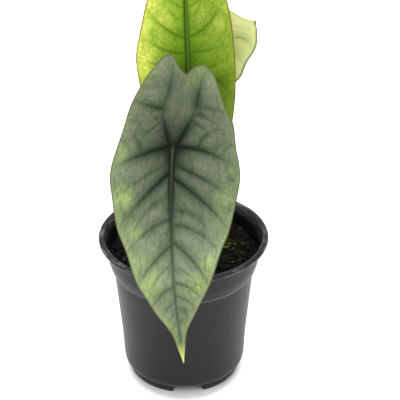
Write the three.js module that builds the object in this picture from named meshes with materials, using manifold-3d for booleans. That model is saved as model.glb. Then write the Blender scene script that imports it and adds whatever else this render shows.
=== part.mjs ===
// A young alocasia platinum in a round nursery pot. Millimetres, +Z up.
// The origin is on the floor, on the pot's axis. -Y is the side that the front leaf hangs on.
import * as THREE from "three";
import { mergeVertices } from "three/addons/utils/BufferGeometryUtils.js";
import Module from "manifold-3d";

const wasm = await Module();
wasm.setup();

// Pot
const potHeight = 110;
const rimRadius = 60;
const rimInnerRadius = 55.2;
const wall = 1.3;
const floorUnderside = 5;
const floorThickness = 2;
const potSegments = 50;
const footCount = 3;
const footRoot = 1.2;
const footInnerRadius = 32;
const footOuterRadius = 40;
const footSpan = THREE.MathUtils.degToRad(88);
const footTurn = THREE.MathUtils.degToRad(4);
const drainRadius = 4;
const drainCircle = 21;
const drainCount = 6;

// Soil
const soilTop = 96;
const soilSegments = 36;
const soilRings = 7;
const soilRelief = 1.4;
const chunkCount = 22;
const soilSeed = 11;

// Rootstock
const neckRadius = 12.5;
const neckTop = 104;
const neckBottom = 64;
const neckHoleRadius = 13;

const fit = 0.3;

// Leaves. A blade is laid out flat first: p runs across it and q along it, from the stalk's top at
// q = 0 to the tip. Its veins are listed from the tip to the notch between the lobes. Each has its
// start on the midline, its two ends on the left and right edge, and the angle at which it leaves.
const frontLeaf = {
  name: "front_leaf",
  colour: 0x6f8a6a,
  spine: [
    [4.4, -1, 252.4],
    [2.6, -11, 239.8],
    [-1.8, -26, 221],
    [-6.5, -40, 201.2],
    [-7.9, -53, 176.3],
    [-7.9, -66, 145.2],
    [-6.3, -76, 113.2],
    [-3.3, -82, 85.1],
    [-0.4, -84.5, 59],
  ],
  stalkTopIndex: 3,
  across: [1, 0, 0],
  fold: [-2, 13, 13, 8],
  curl: [-18, -29, -26, -14],
  wave: 1.1,
  waveLength: 52,
  dips: [],
  veins: [
    { start: 150.6, left: [0, 150.6], right: [0, 150.6], lean: 85 },
    { start: 136, left: [-1.9, 141.5], right: [1.7, 141.5], lean: 60 },
    { start: 121, left: [-5.8, 126], right: [5.4, 125.5], lean: 50 },
    { start: 100, left: [-14.2, 110], right: [13, 112], lean: 36 },
    { start: 83, left: [-18.8, 100], right: [20.2, 100], lean: 32 },
    { start: 66, left: [-24.9, 88], right: [25.6, 89.5], lean: 27 },
    { start: 50, left: [-30.5, 67.5], right: [33, 68.5], lean: 18 },
    { start: 22, left: [-35.6, 53], right: [38.6, 55], lean: 18 },
    { start: 10.5, left: [-38.7, 35.5], right: [43.6, 33.5], lean: 22 },
    { start: 1.3, left: [-40.4, 17.5], right: [45.1, 13.7], lean: -4 },
    { start: -0.6, left: [-34.4, -4], right: [38, -18.5], lean: -30 },
    { start: -1.8, left: [-31.5, -26.8], right: [28.2, -33], lean: -58 },
    { start: -2.8, left: [-20.6, -54], right: [19.6, -48.6], lean: -58 },
    { start: -4.6, left: [-11.5, -61.6], right: [11.9, -56.5], lean: -60 },
    { start: -28, left: [-4.5, -52.4], right: [4.6, -54.3], lean: -62 },
    { start: -49.1, left: [0, -49.1], right: [0, -49.1], lean: -75 },
  ],
  rowsPerVein: 4,
  columns: [0, 0.05, 0.13, 0.26, 0.4, 0.54, 0.68, 0.82, 0.93, 1],
  stalk: [
    [0.5, -5.5, 97.2],
    [0.2, -6, 120],
    [-2.2, -11, 158],
    [-4.6, -21, 186],
    [-6.4, -33.4, 197.8],
  ],
};

const backLeaf = {
  name: "back_leaf",
  colour: 0x86b02c,
  spine: [
    [3.7, -9, 170.3],
    [3.5, -4, 194.6],
    [3.3, 3, 219.6],
    [3.1, 9, 240.4],
    [2.5, 14, 254.2],
    [1.6, 23, 277.6],
    [0.5, 36, 307.6],
    [-0.9, 53, 339.3],
  ],
  stalkTopIndex: 2,
  across: [-1, 0, 0],
  fold: [2, 12, 11, 8],
  curl: [-20, -29, -26, -20],
  wave: 1,
  waveLength: 47,
  dips: [],
  veins: [
    { start: 130.1, left: [0, 130.1], right: [0, 130.1], lean: 85 },
    { start: 117, left: [-3.1, 118.5], right: [2.9, 118.5], lean: 55 },
    { start: 104, left: [-7.8, 104], right: [7.4, 103.5], lean: 48 },
    { start: 84, left: [-15.9, 86.5], right: [14.6, 86], lean: 42 },
    { start: 68, left: [-22.8, 72.5], right: [20.5, 71.5], lean: 38 },
    { start: 55, left: [-28, 60.7], right: [25.4, 60.7], lean: 34 },
    { start: 36.5, left: [-30.6, 47], right: [28.9, 48], lean: 20 },
    { start: 26, left: [-31.8, 33], right: [31.8, 37], lean: 14 },
    { start: 14, left: [-32.3, 22], right: [34.1, 25.9], lean: 12 },
    { start: 4, left: [-32.5, 8], right: [33.5, 15], lean: 0 },
    { start: -0.5, left: [-32.1, -4.3], right: [31.3, 0.7], lean: -20 },
    { start: -1.6, left: [-29.8, -22.9], right: [27.2, -17.6], lean: -48 },
    { start: -2.6, left: [-25.5, -35.4], right: [22.5, -32.4], lean: -58 },
    { start: -4, left: [-18.4, -44.3], right: [16.5, -43], lean: -60 },
    { start: -14, left: [-8.4, -39.6], right: [8.1, -39.1], lean: -62 },
    { start: -26.1, left: [0, -26.1], right: [0, -26.1], lean: -75 },
  ],
  rowsPerVein: 3,
  columns: [0, 0.06, 0.15, 0.32, 0.5, 0.67, 0.82, 0.93, 1],
  stalk: [
    [-4.5, 3.4, 97.2],
    [-3, 7, 130],
    [0, 12, 176],
    [2.6, 13.4, 204],
    [3.2, 9.2, 217.2],
  ],
};

const sideLeaf = {
  name: "side_leaf",
  colour: 0xc3d992,
  spine: [
    [21.5, 17.5, 217.2],
    [23, 23.5, 229.7],
    [24.9, 31.1, 241.4],
    [27.1, 40, 251.9],
    [28.9, 47.4, 256.6],
    [31.1, 55.9, 257.1],
    [33.2, 64.3, 252.2],
    [35.5, 73.6, 239.6],
    [37.4, 81.4, 221.3],
    [38.8, 86.8, 198],
  ],
  stalkTopIndex: 3,
  across: [-0.927, 0.15, 0.375],
  fold: [2, 4, 4, 4],
  curl: [-11, -14, -20, -26],
  wave: 0.8,
  waveLength: 38,
  dips: [{ p: -11, q: 20, across: 8.5, along: 24, depth: 3.4 }], // a sag beside the midrib
  veins: [
    { start: 87.5, left: [0, 87.5], right: [0, 87.5], lean: 85 },
    { start: 76, left: [-3.4, 78], right: [3.3, 78], lean: 55 },
    { start: 61, left: [-10.4, 63.5], right: [10, 63.5], lean: 46 },
    { start: 46, left: [-16.2, 47.5], right: [16, 48], lean: 38 },
    { start: 32, left: [-19.8, 30], right: [20.2, 33], lean: 28 },
    { start: 19, left: [-22.6, 15.5], right: [23.2, 19.5], lean: 16 },
    { start: 9, left: [-24.7, 2], right: [24.8, 6], lean: 2 },
    { start: 0.5, left: [-25.5, -11.4], right: [25.4, -8], lean: -24 },
    { start: -1.4, left: [-20.4, -24], right: [23.2, -21.5], lean: -46 },
    { start: -2.4, left: [-17.3, -34.6], right: [16.6, -34.8], lean: -57 },
    { start: -4, left: [-11.6, -39.2], right: [9.6, -39], lean: -60 },
    { start: -14, left: [-4.4, -34.6], right: [3.8, -34], lean: -64 },
    { start: -26, left: [0, -26], right: [0, -26], lean: -75 },
  ],
  rowsPerVein: 3,
  columns: [0, 0.07, 0.17, 0.36, 0.56, 0.76, 0.91, 1],
  stalk: [
    [5.2, 3.4, 97.2],
    [6.6, 7.4, 130],
    [12.5, 19, 180],
    [20.4, 36, 224],
    [25.6, 44.4, 244.5],
  ],
};

const bladeThickness = 0.8;
const curlSpan = 45; // the curl angle is reached this far from the midrib
const waveReach = 30; // the edge wave has its full height this far out
const ribDepth = 1.8;
const ribWidth = 0.11; // as a share of the half blade
const lobeRibShare = 0.2;
const veinDepth = 0.75;
const midribRise = 0.45;
const midribWidth = 0.06;
const quiltRise = 1.25; // the blade bulges between two veins by this much,
const quiltShare = 0.1; // or by this share of the room between them if that is less
const netRise = 0.22;
const netShare = 0.02;
const bezierLead = 0.45;
const stalkTopRadius = 2.1;
const stalkBaseRadius = 4.1;
const stalkSides = 10;
const stalkSteps = 22;

// Small helpers
function seededRandom(seed) {
  let state = seed;
  return () => {
    state = (state * 16807) % 2147483647;
    return state / 2147483647;
  };
}

function solidFrom(geometry) {
  const bare = geometry.clone();
  bare.deleteAttribute("normal");
  bare.deleteAttribute("uv");
  const merged = mergeVertices(bare, 1e-4);
  return new wasm.Manifold(
    new wasm.Mesh({
      numProp: 3,
      vertProperties: new Float32Array(merged.attributes.position.array),
      triVerts: new Uint32Array(merged.index.array),
    }),
  );
}

function geometryFrom(solid) {
  const mesh = solid.getMesh();
  const geometry = new THREE.BufferGeometry();
  geometry.setAttribute("position", new THREE.BufferAttribute(mesh.vertProperties, 3));
  geometry.setIndex(new THREE.BufferAttribute(mesh.triVerts, 1));
  geometry.computeVertexNormals();
  return geometry;
}

function geometryOf(points, triangles) {
  const geometry = new THREE.BufferGeometry();
  const flat = points.flatMap((point) => [point.x, point.y, point.z]);
  geometry.setAttribute("position", new THREE.Float32BufferAttribute(flat, 3));
  geometry.setIndex(triangles);
  return geometry;
}

// LatheGeometry turns its profile round Y. This stands the result on Z.
function turned(profile, segments) {
  const points = profile.map(([radius, height]) => new THREE.Vector2(radius, height));
  return new THREE.LatheGeometry(points, segments).rotateX(Math.PI / 2);
}

function upright(geometry, x, y, z) {
  return geometry.rotateX(Math.PI / 2).translate(x, y, z);
}

// A smooth value at x, through values given at rising knots.
function smooth(knots, values, x) {
  const last = knots.length - 2;
  const found = knots.findIndex((knot) => knot > x);
  const i = found < 0 ? last : Math.min(Math.max(found - 1, 0), last);
  const slope = (k) => (values[k + 1] - values[k]) / (knots[k + 1] - knots[k]);
  const tangent = (k) => {
    if (k === 0) return slope(0);
    if (k === knots.length - 1) return slope(k - 1);
    const before = knots[k] - knots[k - 1];
    const after = knots[k + 1] - knots[k];
    return (slope(k - 1) * after + slope(k) * before) / (before + after);
  };
  const span = knots[i + 1] - knots[i];
  const s = (x - knots[i]) / span;
  return (
    (2 * s ** 3 - 3 * s ** 2 + 1) * values[i] +
    (s ** 3 - 2 * s ** 2 + s) * span * tangent(i) +
    (3 * s ** 2 - 2 * s ** 3) * values[i + 1] +
    (s ** 3 - s ** 2) * span * tangent(i + 1)
  );
}

// Pot: one turned shell, three long feet under it and drain holes through its floor
function makePot() {
  const floorTop = floorUnderside + floorThickness;
  const shell = turned(
    [
      [0, floorUnderside],
      [37.5, floorUnderside],
      [41.2, 5.8],
      [43, 8],
      [43.8, 12.6],
      [44.5, 28],
      [49.3, 83.4],
      [50.6, 84.5],
      [52.1, 88.2],
      [53.5, 93.5],
      [54.7, 105.2],
      [57.6, 105.6],
      [59.4, 106.5],
      [rimRadius, 108],
      [59.4, 109.4],
      [57.7, potHeight],
      [56.2, 109.5],
      [rimInnerRadius, 108],
      [53.4, 104.6],
      [52.1, 93.8],
      [50.7, 89],
      [48.9, 85.8],
      [49.3 - wall, 84.2],
      [44.5 - wall, 28],
      [43.8 - wall, 12.9],
      [41.4, 9.4],
      [39.2, floorTop + 0.4],
      [36, floorTop],
      [0, floorTop],
    ],
    potSegments,
  );
  let pot = solidFrom(shell);
  for (let i = 0; i < footCount; i++) {
    const middle = footTurn + ((i + 0.5) * 2 * Math.PI) / footCount - Math.PI / 2;
    const section = new THREE.Shape();
    section.absarc(0, 0, footOuterRadius, middle - footSpan / 2, middle + footSpan / 2, false);
    section.absarc(0, 0, footInnerRadius, middle + footSpan / 2, middle - footSpan / 2, true);
    const foot = new THREE.ExtrudeGeometry(section, {
      depth: floorUnderside + footRoot,
      bevelEnabled: false,
      curveSegments: 9,
    });
    pot = pot.add(solidFrom(foot));
  }
  for (let i = 0; i <= drainCount; i++) {
    const angle = (i * 2 * Math.PI) / drainCount;
    const circle = i === drainCount ? 0 : drainCircle;
    const drain = new THREE.CylinderGeometry(drainRadius, drainRadius, 6, 10);
    const x = circle * Math.cos(angle);
    const y = circle * Math.sin(angle);
    pot = pot.subtract(solidFrom(upright(drain, x, y, floorUnderside + 1)));
  }
  return geometryFrom(pot);
}

// Soil: it fills the pot, with an uneven top, bits of bark on it and a plain hole for the rootstock
function soilHeight(x, y) {
  const broad = Math.sin(x * 0.11 + 0.7) * Math.cos(y * 0.13 - 0.4);
  const fine = Math.sin(x * 0.41 + y * 0.23) * Math.sin(y * 0.47 - x * 0.19 + 1.1);
  return soilTop + soilRelief * (0.6 * broad + 0.5 * fine);
}

function makeSoil() {
  const sideProfile = [
    [35.5, 7.3],
    [38.8, 8],
    [40.8, 9.8],
    [42.1, 13.2],
    [42.8, 28],
    [47.6, 84.4],
    [48.5, 86.1],
    [50.3, 89.3],
    [51.6, 94],
    [51.9, soilTop],
  ];
  const points = [new THREE.Vector3(0, 0, sideProfile[0][1])];
  for (const [radius, height] of sideProfile) {
    for (let j = 0; j < soilSegments; j++) {
      const angle = (j * 2 * Math.PI) / soilSegments;
      const x = radius * Math.cos(angle);
      const y = radius * Math.sin(angle);
      points.push(new THREE.Vector3(x, y, height));
    }
  }
  const topRadius = sideProfile[sideProfile.length - 1][0];
  for (let ring = soilRings - 1; ring > 0; ring--) {
    for (let j = 0; j < soilSegments; j++) {
      const angle = ((j + ring * 0.5) * 2 * Math.PI) / soilSegments;
      const x = ((topRadius * ring) / soilRings) * Math.cos(angle);
      const y = ((topRadius * ring) / soilRings) * Math.sin(angle);
      points.push(new THREE.Vector3(x, y, soilHeight(x, y)));
    }
  }
  points.push(new THREE.Vector3(0, 0, soilTop));
  const rings = sideProfile.length + soilRings - 1;
  const at = (ring, j) => 1 + ring * soilSegments + (j % soilSegments);
  const triangles = [];
  for (let j = 0; j < soilSegments; j++) {
    triangles.push(0, at(0, j + 1), at(0, j));
    for (let ring = 0; ring < rings - 1; ring++) {
      triangles.push(at(ring, j), at(ring, j + 1), at(ring + 1, j));
      triangles.push(at(ring, j + 1), at(ring + 1, j + 1), at(ring + 1, j));
    }
    triangles.push(at(rings - 1, j), at(rings - 1, j + 1), points.length - 1);
  }
  let soil = solidFrom(geometryOf(points, triangles));
  const random = seededRandom(soilSeed);
  for (let i = 0; i < chunkCount; i++) {
    const angle = random() * 2 * Math.PI;
    const circle = neckHoleRadius + 4 + random() * (topRadius - neckHoleRadius - 9);
    const x = circle * Math.cos(angle);
    const y = circle * Math.sin(angle);
    const size = 2 + random() * 2.4;
    const chunk = new THREE.IcosahedronGeometry(size, 0);
    chunk.scale(1.5, 0.9, 0.6).rotateX(random() - 0.5).rotateZ(random() * Math.PI);
    chunk.translate(x, y, soilHeight(x, y) + size * 0.15);
    soil = soil.add(solidFrom(chunk));
  }
  const hole = turned(
    [
      [0, neckBottom - fit],
      [neckHoleRadius - 3, neckBottom - fit],
      [neckHoleRadius, neckBottom + 4],
      [neckHoleRadius, soilTop + 10],
      [0, soilTop + 10],
    ],
    32,
  );
  return geometryFrom(soil.subtract(solidFrom(hole)));
}

// Stalk: a round sweep along a smooth curve, wider at its base, with a shallow groove along its top
function sweptStalk(path, extra) {
  const curve = new THREE.CatmullRomCurve3(
    path.map(([x, y, z]) => new THREE.Vector3(x, y, z)),
    false,
    "centripetal",
  );
  const frames = curve.computeFrenetFrames(stalkSteps, false);
  const points = [curve.getPointAt(0)];
  for (let i = 0; i <= stalkSteps; i++) {
    const along = i / stalkSteps;
    const radius =
      stalkTopRadius + (stalkBaseRadius - stalkTopRadius) * (1 - along) ** 2.2 + extra;
    const centre = curve.getPointAt(along);
    for (let j = 0; j < stalkSides; j++) {
      const angle = (j * 2 * Math.PI) / stalkSides;
      const reach = radius * (j === 0 ? 0.86 : 1);
      points.push(
        centre
          .clone()
          .addScaledVector(frames.normals[i], reach * Math.cos(angle))
          .addScaledVector(frames.binormals[i], reach * Math.sin(angle)),
      );
    }
  }
  points.push(curve.getPointAt(1));
  const at = (ring, j) => 1 + ring * stalkSides + (j % stalkSides);
  const triangles = [];
  for (let j = 0; j < stalkSides; j++) {
    triangles.push(0, at(0, j + 1), at(0, j));
    for (let ring = 0; ring < stalkSteps; ring++) {
      triangles.push(at(ring, j), at(ring, j + 1), at(ring + 1, j));
      triangles.push(at(ring, j + 1), at(ring + 1, j + 1), at(ring + 1, j));
    }
    triangles.push(at(stalkSteps, j), at(stalkSteps, j + 1), points.length - 1);
  }
  return solidFrom(geometryOf(points, triangles));
}

// Rootstock: a short ringed neck, with a plain socket for each stalk
function makeRootstock(paths) {
  const profile = [[0, neckBottom]];
  profile.push([neckRadius - 3, neckBottom]);
  profile.push([neckRadius, neckBottom + 4]);
  for (let z = neckTop - 14; z < neckTop - 3; z += 3) {
    profile.push([neckRadius, z]);
    profile.push([neckRadius - 0.6, z + 1.6]);
  }
  profile.push([neckRadius - 2.2, neckTop - 1.2]);
  profile.push([neckRadius - 5, neckTop]);
  profile.push([0, neckTop]);
  let neck = solidFrom(turned(profile, 24));
  for (const [[x, y, z], ...rest] of paths) {
    neck = neck.subtract(sweptStalk([[x, y, z - fit], ...rest], fit));
  }
  return geometryFrom(neck);
}

// Blade: flat layout, then bent along its spine, folded at the midrib and curled to its edges
function bladeSurface(leaf) {
  const spine = leaf.spine.map((point) => new THREE.Vector3(...point));
  const along = [0];
  for (let i = 1; i < spine.length; i++) {
    along.push(along[i - 1] + spine[i].distanceTo(spine[i - 1]));
  }
  const knots = along.map((distance) => distance - along[leaf.stalkTopIndex]);
  const first = leaf.veins[leaf.veins.length - 1].start;
  const last = leaf.veins[0].start;
  const bendKnots = [-60, 0, 60, 120].map((q) => (q < 0 ? Math.min(q, first) : q));
  const pointAt = (q) =>
    new THREE.Vector3(
      smooth(knots, leaf.spine.map((point) => point[0]), q),
      smooth(knots, leaf.spine.map((point) => point[1]), q),
      smooth(knots, leaf.spine.map((point) => point[2]), q),
    );
  const across = new THREE.Vector3(...leaf.across);
  return (p, q) => {
    const centre = pointAt(q);
    const tangent = pointAt(q + 0.5).sub(pointAt(q - 0.5)).normalize();
    const side = across.clone().addScaledVector(tangent, -across.dot(tangent)).normalize();
    const up = tangent.clone().cross(side);
    const reach = Math.abs(p);
    const fold = THREE.MathUtils.degToRad(smooth(bendKnots, leaf.fold, q));
    const curl = THREE.MathUtils.degToRad(smooth(bendKnots, leaf.curl, q)) / curlSpan;
    const out = (Math.sin(fold + curl * reach) - Math.sin(fold)) / curl;
    const phase = (2 * Math.PI * q) / leaf.waveLength + (p < 0 ? 1.4 : 0);
    const wave = leaf.wave * (reach / waveReach) ** 2 * Math.sin(phase);
    let rise = (Math.cos(fold) - Math.cos(fold + curl * reach)) / curl + wave;
    for (const dip of leaf.dips) {
      const away = ((p - dip.p) / dip.across) ** 2 + ((q - dip.q) / dip.along) ** 2;
      rise -= dip.depth * Math.exp(-away);
    }
    return centre.addScaledVector(side, Math.sign(p) * out).addScaledVector(up, rise);
  };
}

// A point of the flat blade on a row. A whole row number is a main vein, a fraction lies between two.
// The row leaves the midline at its own angle and bends to its end on the edge.
function flatPoint(leaf, row, side, reach) {
  const knots = leaf.veins.map((_, i) => i);
  const ends = leaf.veins.map((vein) => (side < 0 ? vein.left : vein.right));
  const start = smooth(knots, leaf.veins.map((vein) => vein.start), row);
  const endP = smooth(knots, ends.map((end) => end[0]), row);
  const endQ = smooth(knots, ends.map((end) => end[1]), row);
  const lean = THREE.MathUtils.degToRad(smooth(knots, leaf.veins.map((vein) => vein.lean), row));
  const lead = bezierLead * Math.hypot(endP, endQ - start);
  const bendP = side * lead * Math.cos(lean);
  const bendQ = start + lead * Math.sin(lean);
  const rest = 1 - reach;
  return [
    2 * rest * reach * bendP + reach ** 2 * endP,
    rest ** 2 * start + 2 * rest * reach * bendQ + reach ** 2 * endQ,
  ];
}

function makeLeaf(leaf) {
  const surface = bladeSurface(leaf);
  const normalAt = (p, q) => {
    const alongBlade = surface(p, q + 0.3).sub(surface(p, q - 0.3));
    const acrossBlade = surface(p + 0.3, q).sub(surface(p - 0.3, q));
    return alongBlade.cross(acrossBlade).normalize();
  };
  const tip = leaf.veins[0].start;
  const panels = leaf.veins.length - 1;
  const rowCount = panels * leaf.rowsPerVein;
  const reachCount = leaf.columns.length - 1;
  const upper = [];
  const lower = [];
  const index = [];
  for (let row = 0; row <= rowCount; row++) {
    const place = row / leaf.rowsPerVein;
    const panel = Math.min(Math.floor(place), panels - 1);
    const inPanel = row % leaf.rowsPerVein === 0 ? 0 : place - panel;
    const onePoint = row === 0 || row === rowCount;
    index.push([]);
    for (let column = -reachCount; column <= reachCount; column++) {
      if (onePoint && column > -reachCount) {
        index[row].push(upper.length - 1);
        continue;
      }
      const side = column < 0 ? -1 : 1;
      const reach = onePoint ? 0 : leaf.columns[Math.abs(column)];
      const [p, q] = flatPoint(leaf, place, side, reach);
      const [p0, q0] = flatPoint(leaf, panel, side, reach);
      const [p1, q1] = flatPoint(leaf, panel + 1, side, reach);
      const room = Math.hypot(p1 - p0, q1 - q0);
      const bulge = Math.sin(Math.PI * inPanel) * Math.sin(Math.PI * reach ** 0.8);
      const quilt = Math.min(quiltRise, quiltShare * room) * bulge;
      const net = (column % 2 === 0 ? 1 : -1) * Math.min(netRise, netShare * room) * bulge;
      const onMidrib = q > 0 ? Math.max(0, 1 - reach / midribWidth) : 0;
      const taper = THREE.MathUtils.clamp((tip - q) / tip, 0.15, 1);
      const ribShare = q > -stalkBaseRadius ? 1 : lobeRibShare;
      const rib = ribDepth * ribShare * taper * Math.max(0, 1 - reach / ribWidth);
      const vein = inPanel === 0 && !onePoint ? veinDepth * (1 - reach) ** 0.7 : 0;
      const rise = quilt + net + midribRise * taper * onMidrib;
      const normal = normalAt(p, q);
      const middle = surface(p, q);
      index[row].push(upper.length);
      const depth = bladeThickness + Math.max(rib, vein);
      upper.push(middle.clone().addScaledVector(normal, rise));
      lower.push(middle.addScaledVector(normal, rise - depth));
    }
  }
  const under = upper.length;
  const triangles = [];
  const face = (a, b, c) => {
    if (a === b || b === c || a === c) return;
    triangles.push(a, b, c);
    triangles.push(under + a, under + c, under + b);
  };
  const wallBetween = (a, b) => {
    if (a === b) return;
    triangles.push(a, under + a, b);
    triangles.push(b, under + a, under + b);
  };
  for (let row = 0; row < rowCount; row++) {
    const here = index[row];
    const next = index[row + 1];
    for (let i = 0; i < 2 * reachCount; i++) {
      if (i < reachCount) {
        face(here[i], next[i + 1], next[i]);
        face(here[i], here[i + 1], next[i + 1]);
      } else {
        face(here[i], here[i + 1], next[i]);
        face(here[i + 1], next[i + 1], next[i]);
      }
    }
    wallBetween(here[2 * reachCount], next[2 * reachCount]);
    wallBetween(next[0], here[0]);
  }
  const blade = solidFrom(geometryOf([...upper, ...lower], triangles));
  const stalkTop = surface(0, 0).addScaledVector(normalAt(0, 0), -0.6 * ribDepth);
  const stalkPath = [...leaf.stalk, stalkTop.toArray()];
  return { solid: blade.add(sweptStalk(stalkPath, 0)), stalkPath };
}

// The whole plant in its pot
const group = new THREE.Group();

function place(name, geometry, colour, roughness) {
  const material = new THREE.MeshStandardMaterial({ color: colour, roughness, metalness: 0 });
  const mesh = new THREE.Mesh(geometry, material);
  mesh.name = name;
  group.add(mesh);
}

place("pot", makePot(), 0x2a2b2d, 0.45);
place("soil", makeSoil(), 0x2b2119, 0.95);
const stalkPaths = [];
for (const leaf of [frontLeaf, backLeaf, sideLeaf]) {
  const { solid, stalkPath } = makeLeaf(leaf);
  place(leaf.name, geometryFrom(solid), leaf.colour, 0.5);
  stalkPaths.push(stalkPath);
}
place("rootstock", makeRootstock(stalkPaths), 0x6b6a3c, 0.8);

export default group;
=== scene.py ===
# A young alocasia platinum in a black nursery pot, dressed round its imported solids.
# Blender works in metres with +Z up. The front leaf hangs on the -Y side. Lengths in the
# dictionaries are millimetres, as in the part's source.
import math
import random

import bmesh
import bpy
import numpy as np
from mathutils import Matrix, Vector, noise


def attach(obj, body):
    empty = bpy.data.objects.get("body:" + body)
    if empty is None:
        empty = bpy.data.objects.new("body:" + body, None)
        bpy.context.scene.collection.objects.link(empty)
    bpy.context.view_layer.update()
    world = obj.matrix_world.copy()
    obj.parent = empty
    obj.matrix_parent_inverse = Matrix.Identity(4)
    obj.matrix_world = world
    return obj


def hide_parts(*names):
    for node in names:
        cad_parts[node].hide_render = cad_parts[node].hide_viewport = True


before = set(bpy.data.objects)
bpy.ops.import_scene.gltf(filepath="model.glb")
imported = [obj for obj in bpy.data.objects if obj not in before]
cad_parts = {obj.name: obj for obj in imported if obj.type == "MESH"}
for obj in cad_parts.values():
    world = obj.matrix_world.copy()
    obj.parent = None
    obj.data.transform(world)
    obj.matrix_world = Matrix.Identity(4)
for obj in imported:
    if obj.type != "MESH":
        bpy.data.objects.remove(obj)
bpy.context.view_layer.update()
mm = 0.001
sheetScale = 100  # millimetres of flat leaf to one unit of its UV map
weldGap = 1e-6  # metres within which points are merged


# Small maths


def smooth(knots, values, x):
    # a soft curve through values given at rising knots
    knots, values = np.asarray(knots, float), np.asarray(values, float)
    step = np.diff(knots)
    slope = np.diff(values) / step
    tangent = np.empty_like(values)
    tangent[0], tangent[-1] = slope[0], slope[-1]
    tangent[1:-1] = (slope[:-1] * step[1:] + slope[1:] * step[:-1]) / (step[:-1] + step[1:])
    i = np.clip(np.searchsorted(knots, x, side="right") - 1, 0, len(knots) - 2)
    s = (x - knots[i]) / step[i]
    return (
        (2 * s**3 - 3 * s**2 + 1) * values[i]
        + (s**3 - 2 * s**2 + s) * step[i] * tangent[i]
        + (3 * s**2 - 2 * s**3) * values[i + 1]
        + (s**3 - s**2) * step[i] * tangent[i + 1]
    )


def steady(values, x):
    # the same for values at 0, 1, 2 and so on that never rises and falls between two of them
    values = np.asarray(values, float)
    slope = np.diff(values)
    tangent = np.empty_like(values)
    tangent[0], tangent[-1] = slope[0], slope[-1]
    product = slope[:-1] * slope[1:]
    total = np.where(product > 0, slope[:-1] + slope[1:], 1)
    tangent[1:-1] = np.where(product > 0, 2 * product / total, 0)
    i = np.clip(np.floor(x).astype(int), 0, len(values) - 2)
    s = x - i
    bend = (s**3 - 2 * s**2 + s) * tangent[i] + (s**3 - s**2) * tangent[i + 1]
    return values[i] + (3 * s**2 - 2 * s**3) * (values[i + 1] - values[i]) + bend


def unit(v):
    return v / np.linalg.norm(v, axis=-1, keepdims=True)


def hump(x, width):
    return np.exp(-((x / width) ** 2))


def ease(x, low, high):
    t = np.clip((x - low) / (high - low), 0, 1)
    return t * t * (3 - 2 * t)


def lineDistance(p, q, line):
    # distance from each flat point to a polyline, and how far along it the nearest place is
    best = np.full(p.shape, 1e9)
    along = np.zeros(p.shape)
    for i in range(len(line) - 1):
        a, d = line[i], line[i + 1] - line[i]
        t = np.clip(((p - a[0]) * d[0] + (q - a[1]) * d[1]) / max(d @ d, 1e-9), 0, 1)
        away = np.hypot(p - a[0] - t * d[0], q - a[1] - t * d[1])
        nearer = away < best
        best = np.where(nearer, away, best)
        along = np.where(nearer, (i + t) / (len(line) - 1), along)
    return best, along


def arc(start, bend, end, count=14):
    t = np.linspace(0, 1, count)[:, None]
    a, b, c = (np.array(x, float) for x in (start, bend, end))
    return (1 - t) ** 2 * a + 2 * (1 - t) * t * b + t**2 * c


# Mesh helpers


def readPoints(mesh):
    points = np.empty(len(mesh.vertices) * 3)
    mesh.vertices.foreach_get("co", points)
    return points.reshape(-1, 3)


def writePoints(mesh, points):
    mesh.vertices.foreach_set("co", np.asarray(points, np.float32).ravel())
    mesh.update()


def writeValues(mesh, name, values):
    layer = mesh.attributes.new(name, "FLOAT", "POINT")
    layer.data.foreach_set("value", np.asarray(values, np.float32))


def writeFlat(mesh, points):
    # the UV map, from a flat point for each vertex
    corners = np.empty(len(mesh.loops), int)
    mesh.loops.foreach_get("vertex_index", corners)
    mesh.uv_layers["flat"].data.foreach_set("uv", points[corners].astype(np.float32).ravel())


def meshFrom(bm, name):
    mesh = bpy.data.meshes.new(name)
    bm.to_mesh(mesh)
    bm.free()
    return mesh


def gridMesh(name, across, along):
    bm = bmesh.new()
    bm.loops.layers.uv.new("flat")
    bmesh.ops.create_grid(bm, x_segments=across, y_segments=along, size=1)
    return meshFrom(bm, name)


def weld(mesh, turnOutward=False):
    bm = bmesh.new()
    bm.from_mesh(mesh)
    bmesh.ops.remove_doubles(bm, verts=bm.verts, dist=weldGap)
    if turnOutward:
        bmesh.ops.recalc_face_normals(bm, faces=bm.faces)
    bm.to_mesh(mesh)
    bm.free()


def makeObject(mesh, *materials, sharpAngle=None):
    obj = bpy.data.objects.new(mesh.name, mesh)
    bpy.context.scene.collection.objects.link(obj)
    for material in materials:
        mesh.materials.append(material)
    mesh.polygons.foreach_set("use_smooth", np.ones(len(mesh.polygons), bool))
    if sharpAngle is not None:
        mesh.set_sharp_from_angle(angle=math.radians(sharpAngle))
    return obj


def bmeshObject(bm, name, material, sharpAngle=None):
    return makeObject(meshFrom(bm, name), material, sharpAngle=sharpAngle)


def addPiece(obj, slot, *nodes):
    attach(obj, "root")
    if nodes:
        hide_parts(*nodes)
    return obj


def applyModifiers(obj):
    graph = bpy.context.evaluated_depsgraph_get()
    mesh = bpy.data.meshes.new_from_object(obj.evaluated_get(graph), depsgraph=graph)
    mesh.name = obj.name
    obj.modifiers.clear()
    obj.data = mesh


def spinProfile(profile, steps):
    # a closed turned shell from a profile of radius and height, in metres
    bm = bmesh.new()
    verts = [bm.verts.new((radius * mm, 0, height * mm)) for radius, height in profile]
    edges = [bm.edges.new(pair) for pair in zip(verts, verts[1:])]
    around = {"cent": (0, 0, 0), "axis": (0, 0, 1), "angle": 2 * math.pi}
    bmesh.ops.spin(bm, geom=verts + edges, steps=steps, use_merge=True, **around)
    bmesh.ops.remove_doubles(bm, verts=bm.verts, dist=weldGap)
    bmesh.ops.recalc_face_normals(bm, faces=bm.faces)
    return bm


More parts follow.
